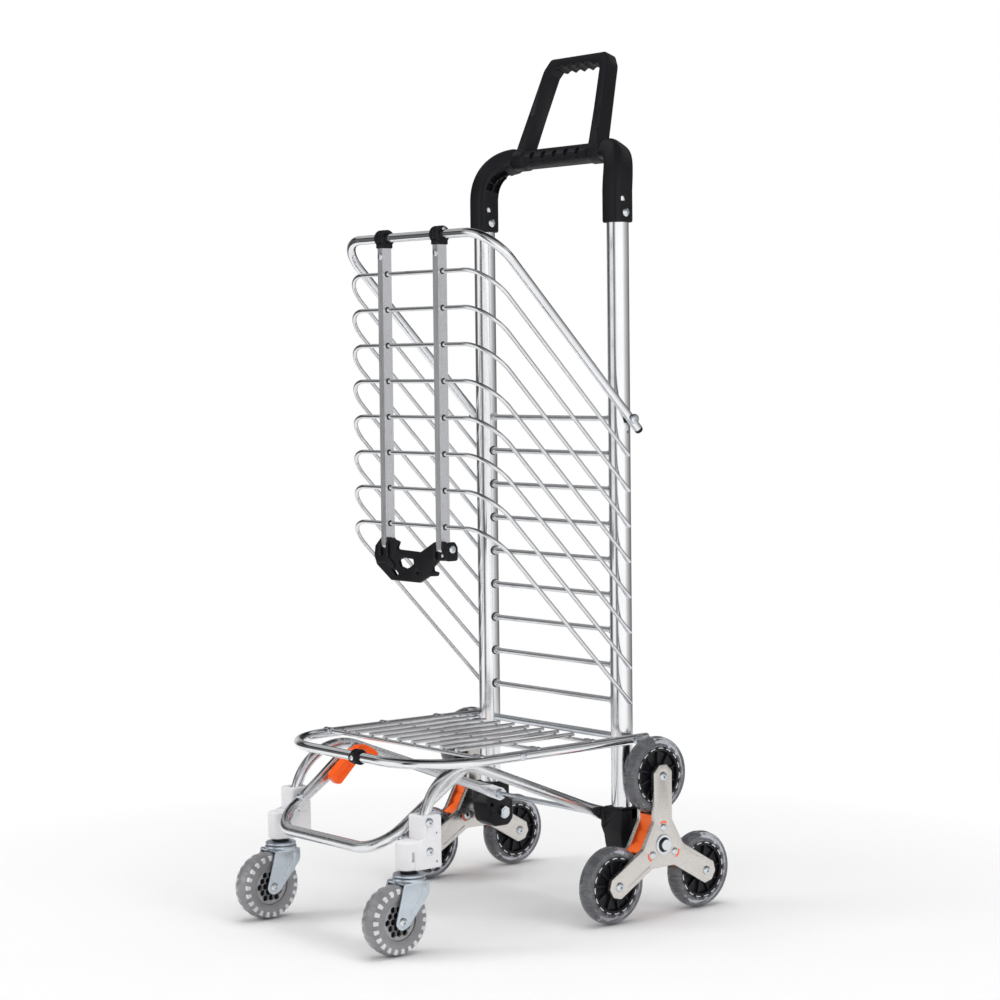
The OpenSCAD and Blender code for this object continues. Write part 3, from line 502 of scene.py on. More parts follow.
for name, side in SIDES:
    flip = Matrix.Scale(side, 4, (1, 0, 0))
    home = local(0, 0, 0)
    path = [Vector((POST_X, 0, 778 + z)) for z in (0, 0.5, 1.4, 3, 10, 20, 30)]
    path += [bend(k / 30) for k in range(31)]

    def wall(t, count=len(path)):
        """The elbow's section, which tapers along the bend and is rounded at both rims."""
        i = round(t * (count - 1))
        trim = {0: 2.0, 1: 0.9, 2: 0.25}.get(i, 0) + {0: 1.6, 1: 0.4}.get(count - 1 - i, 0)
        return soft_square(28.4 - 3.2 * max(0, t - 0.3) / 0.7 - trim)
    bm = bmesh.new()
    sweep(bm, home @ flip, path, wall)
    elbow = piece(name + "_elbow_moulding", bm, BLACK, "frame", [name + "_elbow"])
    bm = bmesh.new()
    for face in (-1, 1):
        moon = [p for p in circle(0, 0, 4.6, 36) if p.y > -1.2]
        plate(bm, home @ flip @ Matrix.Translation((POST_X + face * 14, -4, 802.5))
              @ Matrix.Rotation(math.radians(90), 4, "Z") @ Matrix.Rotation(math.radians(90), 4, "X"),
              [moon], 5, 0.2, 1)
    for t in (0.20, 0.36, 0.52, 0.68):
        p = bend(t)
        d = (bend(t + 0.02) - bend(t - 0.02)).normalized()
        across = Vector((0, 1, 0))
        across = (across - d * across.dot(d)).normalized()
        inward = d.cross(across)
        if inward.z > 0:
            inward = -inward
        axes = Matrix((d, across, inward)).transposed().to_4x4()
        for v in (-5.4, 5.4):
            pocket = rounded([(-4.2, -4.3), (4.2, -4.3), (4.2, 4.3), (-4.2, 4.3)], 1.5, 3)
            plate(bm, home @ flip @ Matrix.Translation(p + inward * 12.5 + across * v) @ axes,
                  [pocket], 9, 0.4, 1)
    cut(elbow, bm)

# ---------- basket: strips' clips and latch ----------

for name, side in SIDES:
    x = side * STRIP_X
    bm = bmesh.new()
    profile = rounded([(-6.5, 5.3), (-6.5, 9.5), (-4.6, 9.5), (-4.1, 8.7), (-1.3, 8.7), (-0.9, 9.4),
                       (0.9, 9.4), (1.3, 8.7), (4.1, 8.7), (4.6, 9.5), (6.5, 9.5), (6.5, 5.3)], 0.35, 2)
    lathe(bm, local(x, RAIL_Y, RAIL_Z), profile, 96,
          lambda a, u, r: r + (0.28 * math.cos(a * 32) if 8.5 < r and abs(u) < 4.3 else 0))
    skirt = rounded([(-5.9, -7.7), (5.9, -7.7), (5.9, 7.7), (-5.9, 7.7)], 1.5, 3)
    plate(bm, local(x, RAIL_Y, 754.3), [skirt], 4.8, 0.8)
    piece(name + "_clip", bm, BLACK, "strips", ["strip_clips"] if side < 0 else ())
    bm = bmesh.new()
    dome(bm, local(x, -207.2, 743, ("Z", -90)), 4.0, 1.6)
    dome(bm, local(x + side * 6.3, -199.5, 769, ("Z", 0 if side > 0 else 180)), 2.9, 1.4, 1.3)
    piece(name + "_clip_rivets", bm, BOLT, "strips")

bm = bmesh.new()
outline = rounded([(-57, 427), (-42, 427.6), (-24, 423.4), (-29, 414.7), (15, 413.6), (40, 426), (53, 427.7),
                   (65, 425.3), (67, 417), (63, 406.3), (47, 405.8), (36.4, 398), (36.8, 394), (46, 392.8),
                   (43, 388.5), (30, 387.5), (12.6, 379.4), (-38.9, 379.4), (-65.8, 395.8), (-70.3, 405.8),
                   (-68.1, 417.3)], 1.6, 3)
window = rounded([(-25, 403), (-14, 406), (2, 405), (3, 400), (-4, 396), (-11, 393.5), (-22, 396)], 1.2, 3)
slit = rounded([(-39, 393.5), (-34, 394.5), (-25, 387), (-30, 384.8)], 1, 3)
plate(bm, local(0, -204, 0, *FACE_FRONT), [outline, window, slit, circle(9.3, 391, 2, 20)], 4.4, 0.9)
body = rounded([(-62, 402), (-48, 413), (-22, 412), (-20, 408), (12, 408.5), (30, 414), (40, 411), (33, 401),
                (14, 392), (-12, 389), (-34, 391)], 1.5, 3)
inner = rounded([(-38, 407), (4, 408.2), (7, 399), (-10, 392), (-30, 394)], 1.2, 3)
plate(bm, local(0, -200.5, 0, *FACE_FRONT), [body, inner], 11, 1.2)
lip = rounded([(-66, 405), (-45, 408), (-30, 397), (-33, 393), (-48, 399), (-64, 397)], 1.5, 3)
plate(bm, local(0, -206.6, 0, *FACE_FRONT), [lip], 2.4, 0.7)
for x in (-STRIP_X, STRIP_X):
    for face in (-1, 1):
        ear = rounded([(-8, -13), (8, -13), (8, 2), (4, 8), (-4, 8), (-8, 2)], 3.4, 4)
        reach = 14.6 if x > 0 and face > 0 else 6.7
        plate(bm, local(x + face * reach, RAIL_Y, LATCH_Z, *FACE_SIDE), [ear], 3.4, 0.9)
piece("latch_moulding", bm, BLACK, "latch", ["basket_latch"])
bm = bmesh.new()
for x in (-STRIP_X, STRIP_X):
    dome(bm, local(x + (16.3 if x > 0 else 8.4), RAIL_Y, LATCH_Z), 4.6, 2.2)
    dome(bm, local(x - 8.4, RAIL_Y, LATCH_Z, ("Z", 180)), 3.4, 1.4)
dome(bm, local(55, -206.1, 412, ("Z", -90)), 2.2, 1.0, 1.0)
piece("latch_pins", bm, BOLT, "latch")

# Dark rims where the wires pass through the strips, which are painted shade of the holes, and dark seats at
# the posts at the wires' levels
bm = bmesh.new()
seats = bmesh.new()
for i in range(1, 9):
    low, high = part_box("basket_wire_%d" % i)
    for turn in (0, 180):
        lathe(seats, local(0, 0, low.z * 1000 + 2.3, ("Z", turn)),
              [(104.9, 4.3), (104.9, 5.5), (106.3, 5.5), (106.3, 4.3)], 24)
    # A dark ring on each face of the strip round each wire: painted shade in the hole
    for x in (-STRIP_X, STRIP_X):
        for face in (-1, 1):
            hole = Matrix.Translation((x * 0.001 + face * 0.0045, low.y + 0.0023, high.z - 0.0023))
            lathe(bm, hole @ Matrix.Scale(0.001, 4), [(-0.3, 2.2), (-0.3, 3.5), (0.15, 3.5), (0.15, 2.2)], 20)
piece("wire_hole_painted_shade", bm, DARK, "strips")
piece("rung_seats", seats, DARK, "frame")

bm = bmesh.new()
for side in (-1, 1):
    dome(bm, local(side * 143.6, 0, 558, ("Z", 0 if side > 0 else 180)), 5.9, 2.8)
piece("rail_bolt_heads", bm, BOLT, "frame")

# ---------- deck ----------

bm = bmesh.new()
profile = rounded([(-5, 5.6), (-5, 8.5), (-3.5, 8.5), (-3.1, 7.7), (-0.9, 7.7), (-0.6, 8.2), (0.6, 8.2),
                   (0.9, 7.7), (3.1, 7.7), (3.5, 8.5), (5, 8.5), (5, 5.6)], 0.3, 2)
lathe(bm, local(RING_X, -DECK_REACH, DECK_Z), profile, 96,
      lambda a, u, r: r + (0.2 * math.cos(a * 32) if 7.4 < r < 8.4 and abs(u) < 3.4 else 0))
ring = rounded([(-2, 0), (-2, 5.2), (2.2, 5.2), (2.2, 3.8), (1.2, 3.6), (1.2, 0)],
               [0, 1, 0.8, 0.3, 0.2, 0], 3)
lathe(bm, local(RING_X, -310, DECK_Z, ("Z", -90)), ring, 40)
piece("deck_ring_moulding", bm, BLACK, "deck", ["deck_ring"])
bm = bmesh.new()
dome(bm, local(RING_X, -311, DECK_Z, ("Z", -90)), 3.5, 1.5, 1.5, 4)
for side in (-1, 1):
    out = ("Z", 0 if side > 0 else 180)
    edge = DECK_HALF + 170 * math.tan(DECK_SPLAY)
    dome(bm, local(side * (edge + 5.2), -170, DECK_Z, out), 4.6, 1.7)
    for y in (-225, -145, -65):
        edge = DECK_HALF - y * math.tan(DECK_SPLAY)
        dome(bm, local(side * edge, y, 201.9, ("Y", -90)), 3.6, 2.2)
        bead = [(x, 3.4 + 0.5 * math.sin(x * 1.1)) for x in range(7)]
        lathe(bm, local(side * (edge - 5.4), y, 200.5, ("Z", 180 if side > 0 else 0)),
              [(0, 0)] + bead + [(6.4, 2.2), (6.4, 0)], 20)
piece("deck_studs", bm, BOLT, "deck")

# ---------- front brackets and casters ----------


def hexagons(r, pitch, keep):
    """Honeycomb of hexagons whose distance from the middle passes keep."""
    out = []
    for i in range(-6, 7):
        for j in range(-6, 7):
            x, y = pitch * (i + j / 2), pitch * j * 0.866
            if keep(math.hypot(x, y)):
                out.append([Vector((x + r * math.cos(math.radians(60 * k + 30)),
                                    y + r * math.sin(math.radians(60 * k + 30)))) for k in range(6)])
    return out


def front_bracket(name, side):
    """Moulded bracket at the foot of a front leg, its screws, and the race over the caster."""
    x = side * CASTER_X
    bm = bmesh.new()
    socket = rounded([(-12.9, -12.8), (12.9, -12.8), (12.9, 12.6), (-12.9, 12.6)], [5, 5, 3, 3], 5)
    plate(bm, local(x, -285.6, 117), [socket, circle(0, -0.4, 6.1, 32)], 56, 1.6, 4)
    foot = rounded([(-13.9, -17), (-9, -34), (9, -34), (13.9, -17), (13.9, 14), (-13.9, 14)],
                   [12, 12, 12, 12, 4, 4], 8)
    plate(bm, local(x, -287, 104), [foot], 30.4, 2.4, 5)
    flange = rounded([(-1, 0), (24, 0), (24, 56), (8, 56), (4, 34), (-9, 30), (-12, 0)], 3, 4)
    plate(bm, local(x + side * 12.4, -297, 88.8, *FACE_SIDE), [flange], 2.4, 0.8)
    bracket = piece(name + "_bracket_moulding", bm, WHITE, "legs", [name + "_leg_bracket"])
    bm = bmesh.new()
    slit = rounded([(-1.6, -5.5), (1.6, -5.5), (1.6, 5.5), (-1.6, 5.5)], 1.5, 4)
    plate(bm, local(x + side * 13.2, -310, 103.5, *FACE_SIDE), [slit], 8, 0.2, 1)
    for z in (126, 95.5):
        plate(bm, local(x + side * 13.6, -279.5, z, *FACE_SIDE), [circle(0, 0, 1.3, 14)], 5, 0.2, 1)
    cut(bracket, bm)
    bm = bmesh.new()
    out = ("Z", 0 if side > 0 else 180)
    for z in (107, 138):
        dome(bm, local(x + side * 13.4, -289, z, out), 5.0, 2.2, 2.0, 4)
    dome(bm, local(side * 98.6, -300, 119.4, ("Y", -62 if side > 0 else -118)), 5.4, 3.4, 2.6)
    lathe(bm, local(side * 104, -299, 116), [(-4, 0), (-4, 5.8), (3, 5.8), (3, 0)], 6)
    piece(name + "_bracket_screws", bm, BOLT, "legs", ["bracket_screws"] if side < 0 else ())
    bm = bmesh.new()
    seal = rounded([(0, 0), (0, 10.5), (2, 9.2), (4.6, 9.2), (4.6, 0)], [0, 0.6, 0.4, 0.4, 0], 3)
    lathe(bm, local(x, STEM_Y, 84.6, ("Y", -90)), seal, 40)
    piece(name + "_neck_seal", bm, HUB, "legs")
    bm = bmesh.new()
    race = rounded([(0, 0), (0, 16.6), (1.2, 17.3), (3.4, 17.0), (4.1, 12.5), (4.1, 0)],
                   [0, 0.5, 0.6, 1.2, 0.8, 0], 4)
    lathe(bm, local(x, STEM_Y, 81.4, ("Y", -90)), race, 56)
    piece(name + "_race_top", bm, ZINC, "legs", ["caster_stems"] if side < 0 else ())


def fork(name, side):
    """Swivelling fork of a caster, with its bolt."""
    x = side * CASTER_X
    swivel = name + "_swivel"
    bm = bmesh.new()
    crown = rounded([(-6.2, 4.2), (-6.2, 16.6), (-2.4, 18), (0, 17.6), (0, 4.2)], [0, 1, 1.2, 0.8, 0], 4)
    lathe(bm, local(x, STEM_Y, 81.1, ("Y", -90)), crown, 56)
    top = rounded([(-16, -17), (16, -17), (16, 15), (-16, 15)], [3, 3, 8, 8], 5)
    plate(bm, local(x, STEM_Y, 76.4), [top], 3, 0.9)
    leaf = rounded([(16, 78), (16, 64), (-12, 31.5), (-22, 27.5), (-29.5, 35), (-21, 64), (-17, 78)],
                   [2, 12, 7, 8.5, 8, 14, 2], 7)
    for face in (-1, 1):
        plate(bm, local(x + face * 14.7, STEM_Y, 0, *FACE_SIDE),
              [leaf, circle(WHEEL_Y - STEM_Y, WHEEL_R, 3, 24)], 2.2, 0.8)
        rib = rounded([(12, 74), (12, 66), (-9, 42), (-11, 44), (6, 66), (6, 74)], 1, 3)
        plate(bm, local(x + face * 15.6, STEM_Y, 0, *FACE_SIDE), [rib], 1.0, 0.4, 2)
    piece(name + "_fork_pressing", bm, ZINC, swivel, [name + "_fork"])
    bm = bmesh.new()
    lathe(bm, local(x, WHEEL_Y, WHEEL_R), [(-16.5, 0), (-16.5, 2.9), (16.5, 2.9), (16.5, 0)], 28)
    for face in (0, 180):
        dome(bm, local(x, WHEEL_Y, WHEEL_R, ("Z", face)) @ Matrix.Translation((15.6, 0, 0)), 4.9, 2.3, 2.0)
    piece(name + "_fork_bolt", bm, BOLT, swivel)


def front_wheel(name, side):
    """Caster wheel: grooved tyre with lug blocks in a pale colour that is painted highlight, on a hub with a
    honeycomb on both faces.
    """
    x = side * CASTER_X
    caster = name + "_caster"
    bm = bmesh.new()
    tread = rounded([(-10.8, 20.6), (-11.3, 24), (-11.6, 28.5), (-11.9, 33), (-9.2, 36), (-4.2, 37.3),
                     (0, WHEEL_R), (4.2, 37.3), (9.2, 36), (11.9, 33), (11.6, 28.5), (11.3, 24), (10.8, 20.6)],
                    [0.4, 0.5, 1, 2, 2, 2, 2, 2, 2, 2, 1, 0.5, 0.4], 3)

    def grooves(a, u, r):
        share = (a * (LUG_COUNT // 2) / math.pi + (0.5 if u > 0 else 0)) % 1
        if abs(u) > 3.2 and r > 31.5 and share < 0.4:
            return r - 0.9
        return r
    lathe(bm, local(x, WHEEL_Y, WHEEL_R), tread, 176, grooves)
    piece(name + "_grooved_tyre", bm, CASTER, caster, [name + "_caster_tyre"])
    bm = bmesh.new()
    # Lug blocks on both sides of the tyre, coloured pale as a painted highlight
    lug = rounded([(-2.1, 29.0), (2.1, 29.0), (2.7, 34.8), (-2.7, 34.8)], 0.9, 3)
    for face in (-1, 1):
        for k in range(LUG_COUNT):
            spin = Matrix.Rotation(math.tau * (k + 0.25 * face) / LUG_COUNT, 4, "X")
            plate(bm, local(x, WHEEL_Y, WHEEL_R) @ spin @ Matrix.Translation((face * 10.35, 0, 0))
                  @ Matrix.Rotation(math.radians(90), 4, "Z") @ Matrix.Rotation(math.radians(90), 4, "X"),
                  [lug], 3.4, 0.8, 3)
    piece(name + "_tyre_lug_highlights", bm, LUG_HIGHLIGHT, caster)
    bm = bmesh.new()
    core = rounded([(-10.6, 22.3), (-10.6, 26), (10.6, 26), (10.6, 22.3), (4.5, 21.4), (4.5, 3.2),
                    (-4.5, 3.2), (-4.5, 21.4)], [0.6, 0.5, 0.5, 0.6, 1, 0, 0, 1], 3)
    lathe(bm, local(x, WHEEL_Y, WHEEL_R), core, 64)
    lathe(bm, local(x, WHEEL_Y, WHEEL_R), [(-13, 3.2), (-13, 6.6), (13, 6.6), (13, 3.2)], 32)
    piece(name + "_hub_core", bm, HUB, caster, [name + "_caster_hub"])
    bm = bmesh.new()
    holes = hexagons(3.85, 7.4, lambda d: 6.5 < d < 15.5)
    for face in (-1, 1):
        plate(bm, local(x + face * 7.2, WHEEL_Y, WHEEL_R, *FACE_SIDE),
              [circle(0, 0, 20.5, 60)] + holes, 3.4, 0.35, 1)
    piece(name + "_hub_honeycomb", bm, HONEY, caster)


for name, side in SIDES:
    front_bracket(name, side)
    fork(name, side)
    front_wheel(name, side)

# ---------- rear brackets and climbing stars ----------


def arm_loop(width, tip, chamfer, root, corner):
    """Outline of the three-armed plate, with each arm's tip chamfered."""
    pts, radii = [], []
    for k in range(3):
        a = math.radians(120 * k)
        c, s = math.cos(a), math.sin(a)
        for u, r, q in ((width, root, 9), (width, tip - chamfer, corner), (width - chamfer, tip, corner),
                        (chamfer - width, tip, corner), (-width, tip - chamfer, corner), (-width, root, 9)):
            pts.append((u * c - r * s, u * s + r * c))
            radii.append(q)
    return rounded(pts, radii, 5)


# Turns a plate to stand upright, facing along X
STAND = Matrix.Rotation(math.radians(90), 4, "Z") @ Matrix.Rotation(math.radians(90), 4, "X")


def hub_of(side):
    """The star's middle, with X pointing outwards."""
    flip = Matrix.Scale(side, 4, (1, 0, 0))
    return local(0, STAR_Y, STAR_Z) @ flip @ Matrix.Translation((STAR_X, 0, 0))


def spoke(star, k, r, along=0.0, turn=0.0):
    """Place on arm k at distance r from the star's middle, along X."""
    return (star @ Matrix.Rotation(math.radians(120 * k), 4, "X") @ Matrix.Translation((along, 0, r))
            @ Matrix.Rotation(math.radians(turn), 4, "Z"))


def on_arms(r, hole, n=20):
    """A round hole on each arm of the plate at distance r."""
    return [circle(-r * math.sin(math.radians(120 * k)), r * math.cos(math.radians(120 * k)), hole, n)
            for k in range(3)]


def star_body(name, side):
    """The star's pressed plates, their marks and rivets, and the axle's washer and head."""
    star = hub_of(side)
    body = name + "_star"
    bm = bmesh.new()
    face = arm_loop(13.5, 90, 8, 27, 2.5)
    rim = [Vector(p) for p in face]
    if area(rim) < 0:
        rim = rim[::-1]
    for s in (-1, 1):
        holes = on_arms(19.5, 3) + on_arms(ARM, 3.8) + [circle(0, 0, 5, 28)]
        plate(bm, star @ Matrix.Translation((s * 13.7, 0, 0)) @ STAND, [face] + holes, 1.6, 0.75, 4)
        plate(bm, star @ Matrix.Translation((s * 11.3, 0, 0)) @ STAND, [rim, inset(rim, 1.3)], 4.2, 0.5, 2)
        bar = rounded([(-19, -0.8), (19, -0.8), (19, 0.8), (-19, 0.8)], 0.75, 3)
        for k in (1, 2):
            plate(bm, spoke(star, k, 48, s * 14.4) @ Matrix.Translation((0, -8.6, 0)) @ STAND
                  @ Matrix.Rotation(math.radians(90), 4, "Z"), [bar], 1.0, 0.45, 2)
    piece(name + "_star_pressings", bm, PLATE, body, [name + "_star_plates"])
    bm = bmesh.new()
    for s in (-1, 1):
        for k in range(3):
            arc = [(r * math.sin(math.radians(d)), r * math.cos(math.radians(d)))
                   for r, degrees in ((7.4, range(-48, 49, 8)), (5.4, range(48, -49, -8)))
                   for d in degrees]
            plate(bm, spoke(star, k, 19.5, s * 14.35) @ STAND, [rounded(arc, 0.3, 2)], 0.9, 0.3, 2)
    piece(name + "_star_marks", bm, ORANGE, body)
    bm = bmesh.new()
    for s, turn in ((1, 0), (-1, 180)):
        for k in range(3):
            dome(bm, spoke(star, k, 19.5, s * 14.5, turn), 4.3, 1.8)
            dome(bm, spoke(star, k, ARM, s * 14.5, turn), 5.2, 2.4, 2.1)
    for k in range(3):
        lathe(bm, spoke(star, k, ARM), [(-14.2, 0), (-14.2, 3.9), (14.2, 3.9), (14.2, 0)], 28)
    piece(name + "_star_rivets", bm, BOLT, body, [name + "_star_bolts"])
    bm = bmesh.new()
    seat = rounded([(14.6, 5), (14.6, 8.6), (15.5, 8.6), (16.0, 7.8), (16.0, 5)], [0, 0.4, 0.3, 0.3, 0], 3)
    lathe(bm, star, seat, 48)
    piece(name + "_axle_ring", bm, HUB, "frame")
    bm = bmesh.new()
    washer = rounded([(14.5, 8.4), (14.5, 11.6), (15.3, 11.6), (15.6, 11), (15.6, 8.4)],
                     [0, 0.3, 0.2, 0.2, 0], 3)
    lathe(bm, star, washer, 56)
    dome(bm, star @ Matrix.Translation((15.6, 0, 0)), 5.6, 2.2, 2.6)
    piece(name + "_axle_head", bm, BOLT, "frame")


def star_wheel(name, side, k):
    """One wheel of a star: see-through tyre over a scalloped, webbed hub, with small bright metal pieces round
    the rim as painted glints.
    """
    wheel = "%s_wheel_%d" % (name, k + 1)
    place = spoke(hub_of(side), k, ARM)
    bm = bmesh.new()
    tyre = rounded([(-7.6, 31.8), (-9, 34), (-8.7, 39.5), (-5.6, 42.6), (0, 43.5), (5.6, 42.6),
                    (8.7, 39.5), (9, 34), (7.6, 31.8)], [0, 1.2, 3, 4, 5, 4, 3, 1.2, 0], 6)
    lathe(bm, place, tyre, 96)
    piece(wheel + "_tyre", bm, SMOKE, wheel, ["%s_star_wheel_%d" % (name, k + 1)])
    bm = bmesh.new()
    rim = rounded([(-7.9, 27.6), (-7.9, 33), (-5.5, 33.6), (5.5, 33.6), (7.9, 33), (7.9, 27.6),
                   (3.2, 26.6), (3.2, 4.2), (-3.2, 4.2), (-3.2, 26.6)],
                  [0.5, 0.4, 0.3, 0.3, 0.4, 0.5, 0.8, 0, 0, 0.8], 3)
    lathe(bm, place, rim, 128,
          lambda a, u, r: r + (1.9 if r > 32.5 and (a * 16 / math.tau) % 1 < 0.55 else 0))
    lathe(bm, place, [(-9.8, 4.2), (-9.8, 9), (9.8, 9), (9.8, 4.2)], 32)
    web = rounded([(-0.9, 8), (0.9, 8), (0.9, 28), (-0.9, 28)], 0.4, 2)
    for s in (-1, 1):
        for d in range(0, 360, 36):
            plate(bm, place @ Matrix.Rotation(math.radians(d), 4, "X")
                  @ Matrix.Translation((s * 4.6, 0, 0)) @ STAND, [web], 3.6, 0.4, 2)
    piece(wheel + "_hub", bm, HUB, wheel)
    bm = bmesh.new()
    # Small bright metal pieces round the hub's rim: painted glints that stand in for highlights there, not
    # parts of the wheel
    glint = rounded([(-3.4, 29.9), (0, 30.4), (3.4, 29.9), (3.6, 31.3), (0, 31.8), (-3.6, 31.3)], 0.5, 2)
    for s in (-1, 1):
        for d in range(16):
            plate(bm, place @ Matrix.Rotation(math.radians(d * 22.5 + 17), 4, "X")
                  @ Matrix.Translation((s * 7.8, 0, 0)) @ STAND, [glint], 0.9, 0.3, 2)
    piece(wheel + "_rim_painted_glints", bm, BOLT, wheel)


def lower_bracket(name, side):
    """Black moulding at a post's foot, with the nut and the bolt on its inner side."""
    bm = bmesh.new()
    shell = rounded([(-17, 118.5), (-17, 92), (-13, 70), (-4, 64), (16, 64), (23, 72), (23, 92), (17.5, 100),
                     (17.5, 118.5)], [3, 8, 8, 6, 10, 8, 8, 4, 3], 6)
    plate(bm, local(side * POST_X, 0, 0, *FACE_SIDE), [shell], 30.4, 2.6, 4)
    lug = rounded([(-16, 117), (-16, 96), (-11, 84), (4, 84), (10, 96), (10, 117)], 5, 5)
    plate(bm, local(side * 103.6, -2, 0, *FACE_SIDE), [lug], 5.0, 1.0, 3)
    moulding = piece(name + "_lower_moulding", bm, BLACK, "frame", [name + "_lower_bracket"])
    bm = bmesh.new()
    plate(bm, local(side * 103, -12, 92, *FACE_SIDE), [circle(0, 0, 2.6, 20)], 14, 0.2, 1)
    lathe(bm, local(side * POST_X, 0, 119, ("Y", -90)), [(-8, 0), (-8, 12.7), (2, 12.7), (2, 0)], 48)
    cut(moulding, bm)
    bm = bmesh.new()
    inward = ("Z", 180 if side > 0 else 0)
    dome(bm, local(side * 102.4, 8, 80, inward), 7.4, 4.0, 3.6, 6)
    dome(bm, local(side * 96, -3, 105, inward), 5.2, 3.0, 2.2)
    piece(name + "_axle_nut", bm, BOLT, "frame")


for name, side in SIDES:
    star_body(name, side)
    for k in range(3):
        star_wheel(name, side, k)
    lower_bracket(name, side)

# ---------- lock lever ----------

bm = bmesh.new()
blade = rounded([(-233, 189), (-222, 176), (-232, 169), (-252.7, 149.2), (-257.7, 149.2),
                 (-265.7, 157.2), (-264.7, 162.2)],
                [5, 4, 4, 2.5, 2.5, 2.5, 2.5], 4)
plate(bm, local(LEVER_X, 0, 0, *FACE_SIDE), [blade], 11, 1.6, 4)
cam = rounded([(-233, 182), (-226, 174), (-212, 168), (-202, 170), (-200, 178), (-206, 184),
               (-218, 190), (-229, 190)],
              [5, 4, 5, 4, 4, 5, 5, 5], 5)
plate(bm, local(LEVER_X, 0, 0, *FACE_SIDE), [cam], 11.4, 1.6, 4)
lever = piece("lever_moulding", bm, ORANGE, "lever", ["lock_lever"])
bm = bmesh.new()
groove = rounded([(-11, -1.7), (11, -1.7), (11, 1.7), (-11, 1.7)], 1.5, 4)
for face in (-1, 1):
    plate(bm, local(LEVER_X + face * 5.6, -249, 163, *FACE_SIDE) @ Matrix.Rotation(math.radians(42), 4, "Z"),
          [groove], 2.4, 0.3, 2)
cut(lever, bm)
bm = bmesh.new()
dome(bm, local(-74.4, -226, 181), 4.0, 1.8, 1.6)
dome(bm, local(-86.6, -299, 139), 4.2, 2.2, 1.8)
piece("lever_screws", bm, BOLT, "legs")

# ---------- stage, light and camera ----------

bm = bmesh.new()
FLOOR_Z = -0.0004
grid = [[bm.verts.new((r * math.cos(a / 24 * math.pi), r * math.sin(a / 24 * math.pi), FLOOR_Z))
         for a in range(48)] for r in (0.4, 0.9, 1.4)]
bm.faces.new(grid[0])
for inner, outer in zip(grid, grid[1:]):
    for i in range(48):
        bm.faces.new((inner[i - 1], inner[i], outer[i], outer[i - 1]))
bmesh.ops.recalc_face_normals(bm, faces=bm.faces)
mesh = bpy.data.meshes.new("floor")
bm.to_mesh(mesh)
bm.free()
floor = bpy.data.objects.new("floor", mesh)
bpy.context.scene.collection.objects.link(floor)
t = Tree("floor_paper")
t.set(Base_Color=t.mix(t.fit(t.noise(3), 0.3, 0.7), rgba((0.90, 0.90, 0.905)), rgba((0.92, 0.92, 0.925))),
      Roughness=t.fit(t.noise(40), 0.3, 0.7, 0.42, 0.5), Specular_IOR_Level=0.3)
# Away from the trolley the paper fades into plain white, so that no horizon shows
reach = t.nodes.new("ShaderNodeVectorMath")
reach.operation = "LENGTH"
t.links.new(t.coord, reach.inputs[0])
white = t.nodes.new("ShaderNodeEmission")
fade = t.nodes.new("ShaderNodeMixShader")
t.links.new(t.fit(reach.outputs["Value"], 0.25, 0.85), fade.inputs[0])
t.links.new(t.shader.outputs[0], fade.inputs[1])
t.links.new(white.outputs[0], fade.inputs[2])
t.links.new(fade.outputs[0], t.nodes["Material Output"].inputs["Surface"])
floor.data.materials.append(t.mat)


def softbox(name, place, target, size, power, height=None):
    """Area lamp that lights the trolley but isn't seen in its reflections."""
    data = bpy.data.lights.new(name, "AREA")
    data.shape = "RECTANGLE"
    data.size = size
    data.size_y = height or size
    data.energy = power
    lamp = bpy.data.objects.new(name, data)
    lamp.location = place
    lamp.rotation_euler = (Vector(target) - Vector(place)).to_track_quat("-Z", "Y").to_euler()
    lamp.visible_glossy = False
    bpy.context.scene.collection.objects.link(lamp)


softbox("top_light", (0.1, 0.1, 2.6), (0, 0, 0.3), 2.2, 58)
softbox("left_light", (-1.4, -2.3, 1.5), (0, 0, 0.45), 1.3, 34, height=2.0)
softbox("right_light", (2.4, 0.3, 1.4), (0, 0, 0.5), 0.9, 20, height=2.0)

world = bpy.data.worlds.new("studio")
bpy.context.scene.world = world
world.use_nodes = True
wn, wl = world.node_tree.nodes, world.node_tree.links
wn.clear()


def wmath(kind, a, b=None):
    """Math node in the world's tree."""
    node = wn.new("ShaderNodeMath")
    node.operation = kind
    for socket, value in zip(node.inputs, (a, b)):
        if value is None:
            continue
        if hasattr(value, "is_output"):
            wl.new(value, socket)
        else:
            socket.default_value = value
    return node.outputs[0]


def ramp(value, stops):
    """Grey levels at places from 0 to 1."""
    node = wn.new("ShaderNodeValToRGB")
    wl.new(value, node.inputs[0])
    bar = node.color_ramp
    bar.elements[0].position, bar.elements[0].color = stops[0][0], (stops[0][1],) * 3 + (1,)
    bar.elements[1].position, bar.elements[1].color = stops[-1][0], (stops[-1][1],) * 3 + (1,)
    for place, level in stops[1:-1]:
        bar.elements.new(place).color = (level,) * 3 + (1,)
    return node.outputs["Color"]


# A bright room with dark gaps between its panels, so that polished tubes get crisp edges
parts = wn.new("ShaderNodeSeparateXYZ")
wl.new(wn.new("ShaderNodeTexCoord").outputs["Generated"], parts.inputs[0])
azimuth = wmath("ARCTAN2", parts.outputs["Y"], parts.outputs["X"])
turn = wmath("ADD", wmath("DIVIDE", azimuth, 2 * math.pi), 0.5)
lift = wmath("ADD", wmath("DIVIDE", wmath("ARCSINE", parts.outputs["Z"]), math.pi), 0.5)
around = ramp(turn, [(0.0, 0.10), (0.05, 0.08), (0.11, 0.14), (0.14, 1.0), (0.21, 1.15), (0.24, 0.8),
                     (0.252, 0.05), (0.272, 0.03), (0.29, 0.3), (0.325, 1.15), (0.45, 1.2), (0.52, 1.15),
                     (0.57, 0.75), (0.63, 0.5), (0.70, 0.34), (0.77, 0.2), (0.83, 0.05), (0.89, 0.04),
                     (0.92, 0.6), (0.96, 0.7), (1.0, 0.10)])
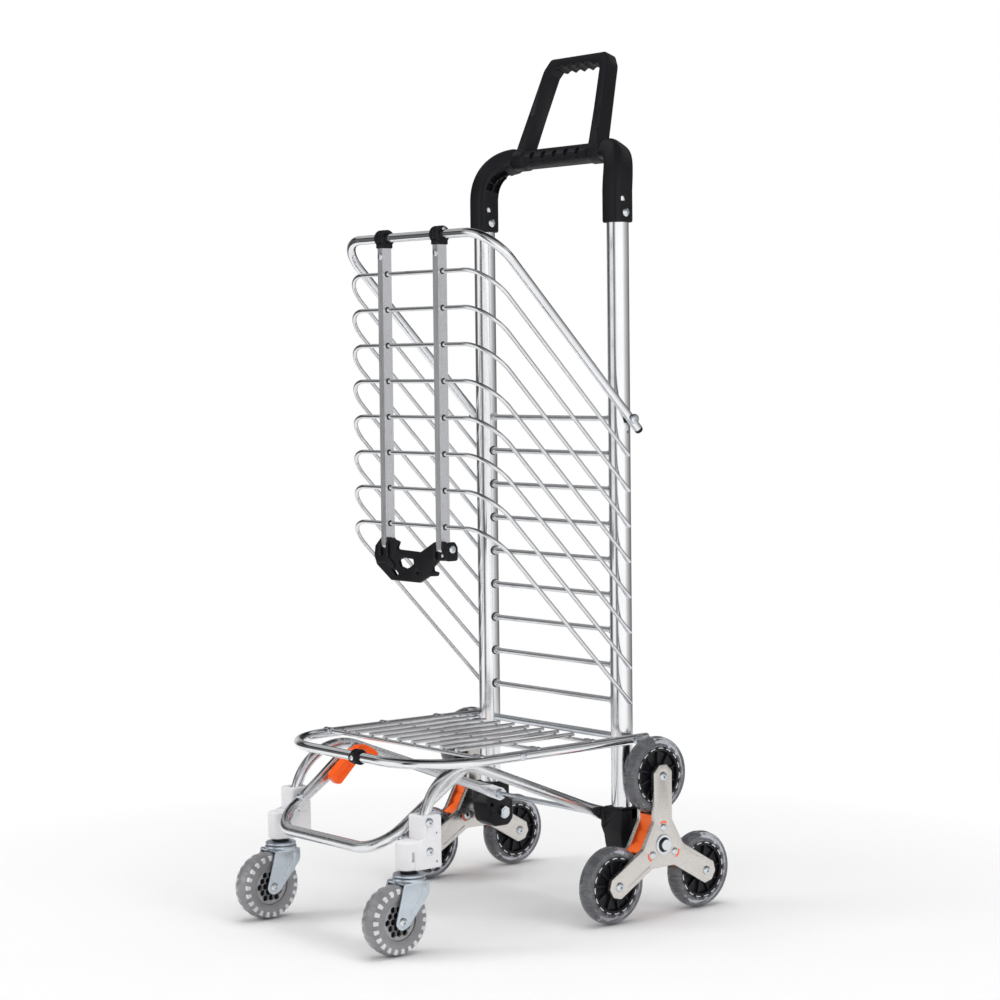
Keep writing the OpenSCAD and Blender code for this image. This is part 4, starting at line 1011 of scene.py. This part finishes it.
above = ramp(lift, [(0.0, 1.0), (0.56, 1.0), (0.60, 0.5), (0.65, 0.16), (0.80, 0.12), (0.86, 0.04),
                    (1.0, 0.04)])
shelf = ramp(lift, [(0.0, 0.0), (0.645, 0.0), (0.665, 0.5), (0.70, 0.5), (0.73, 0.12), (0.82, 0.0),
                    (1.0, 0.0)])


def combine(kind, a, b):
    """Colours a and b multiplied or added."""
    node = wn.new("ShaderNodeMix")
    node.data_type = "RGBA"
    node.blend_type = kind
    node.inputs["Factor"].default_value = 1.0
    wl.new(a, node.inputs["A"])
    wl.new(b, node.inputs["B"])
    return node.outputs["Result"]


# Reflections see the room, and the background behind the trolley is plain white
room = wn.new("ShaderNodeBackground")
wl.new(combine("ADD", combine("MULTIPLY", around, above), shelf), room.inputs["Color"])
plain = wn.new("ShaderNodeBackground")
plain.inputs["Color"].default_value = (1, 1, 1, 1)
pick = wn.new("ShaderNodeMixShader")
wl.new(wn.new("ShaderNodeLightPath").outputs["Is Camera Ray"], pick.inputs[0])
wl.new(room.outputs[0], pick.inputs[1])
wl.new(plain.outputs[0], pick.inputs[2])
wl.new(pick.outputs[0], wn.new("ShaderNodeOutputWorld").inputs["Surface"])

scene = bpy.context.scene
scene.view_settings.view_transform = "Standard"

# The camera that fits the photograph: its place, its turns and its focal length in image widths
FOCAL = 2.4553
eye = at(2165.0, -1866.4, 619.6)
yaw, tilt, roll = math.radians(50.44), math.radians(3.14), math.radians(-0.63)
ahead = Vector((-math.sin(yaw) * math.cos(tilt), math.cos(yaw) * math.cos(tilt), -math.sin(tilt)))
right = Vector((math.cos(yaw), math.sin(yaw), 0))
upward = right.cross(ahead)
side = right * math.cos(roll) + upward * math.sin(roll)
upward = upward * math.cos(roll) - right * math.sin(roll)
camera = bpy.data.objects.new("camera", bpy.data.cameras.new("camera"))
camera.data.sensor_width = 36.0
camera.data.lens = FOCAL * camera.data.sensor_width
turned = Matrix((side, upward, -ahead)).transposed().to_4x4()
camera.matrix_world = Matrix.Translation(eye) @ turned
scene.collection.objects.link(camera)
scene.camera = camera
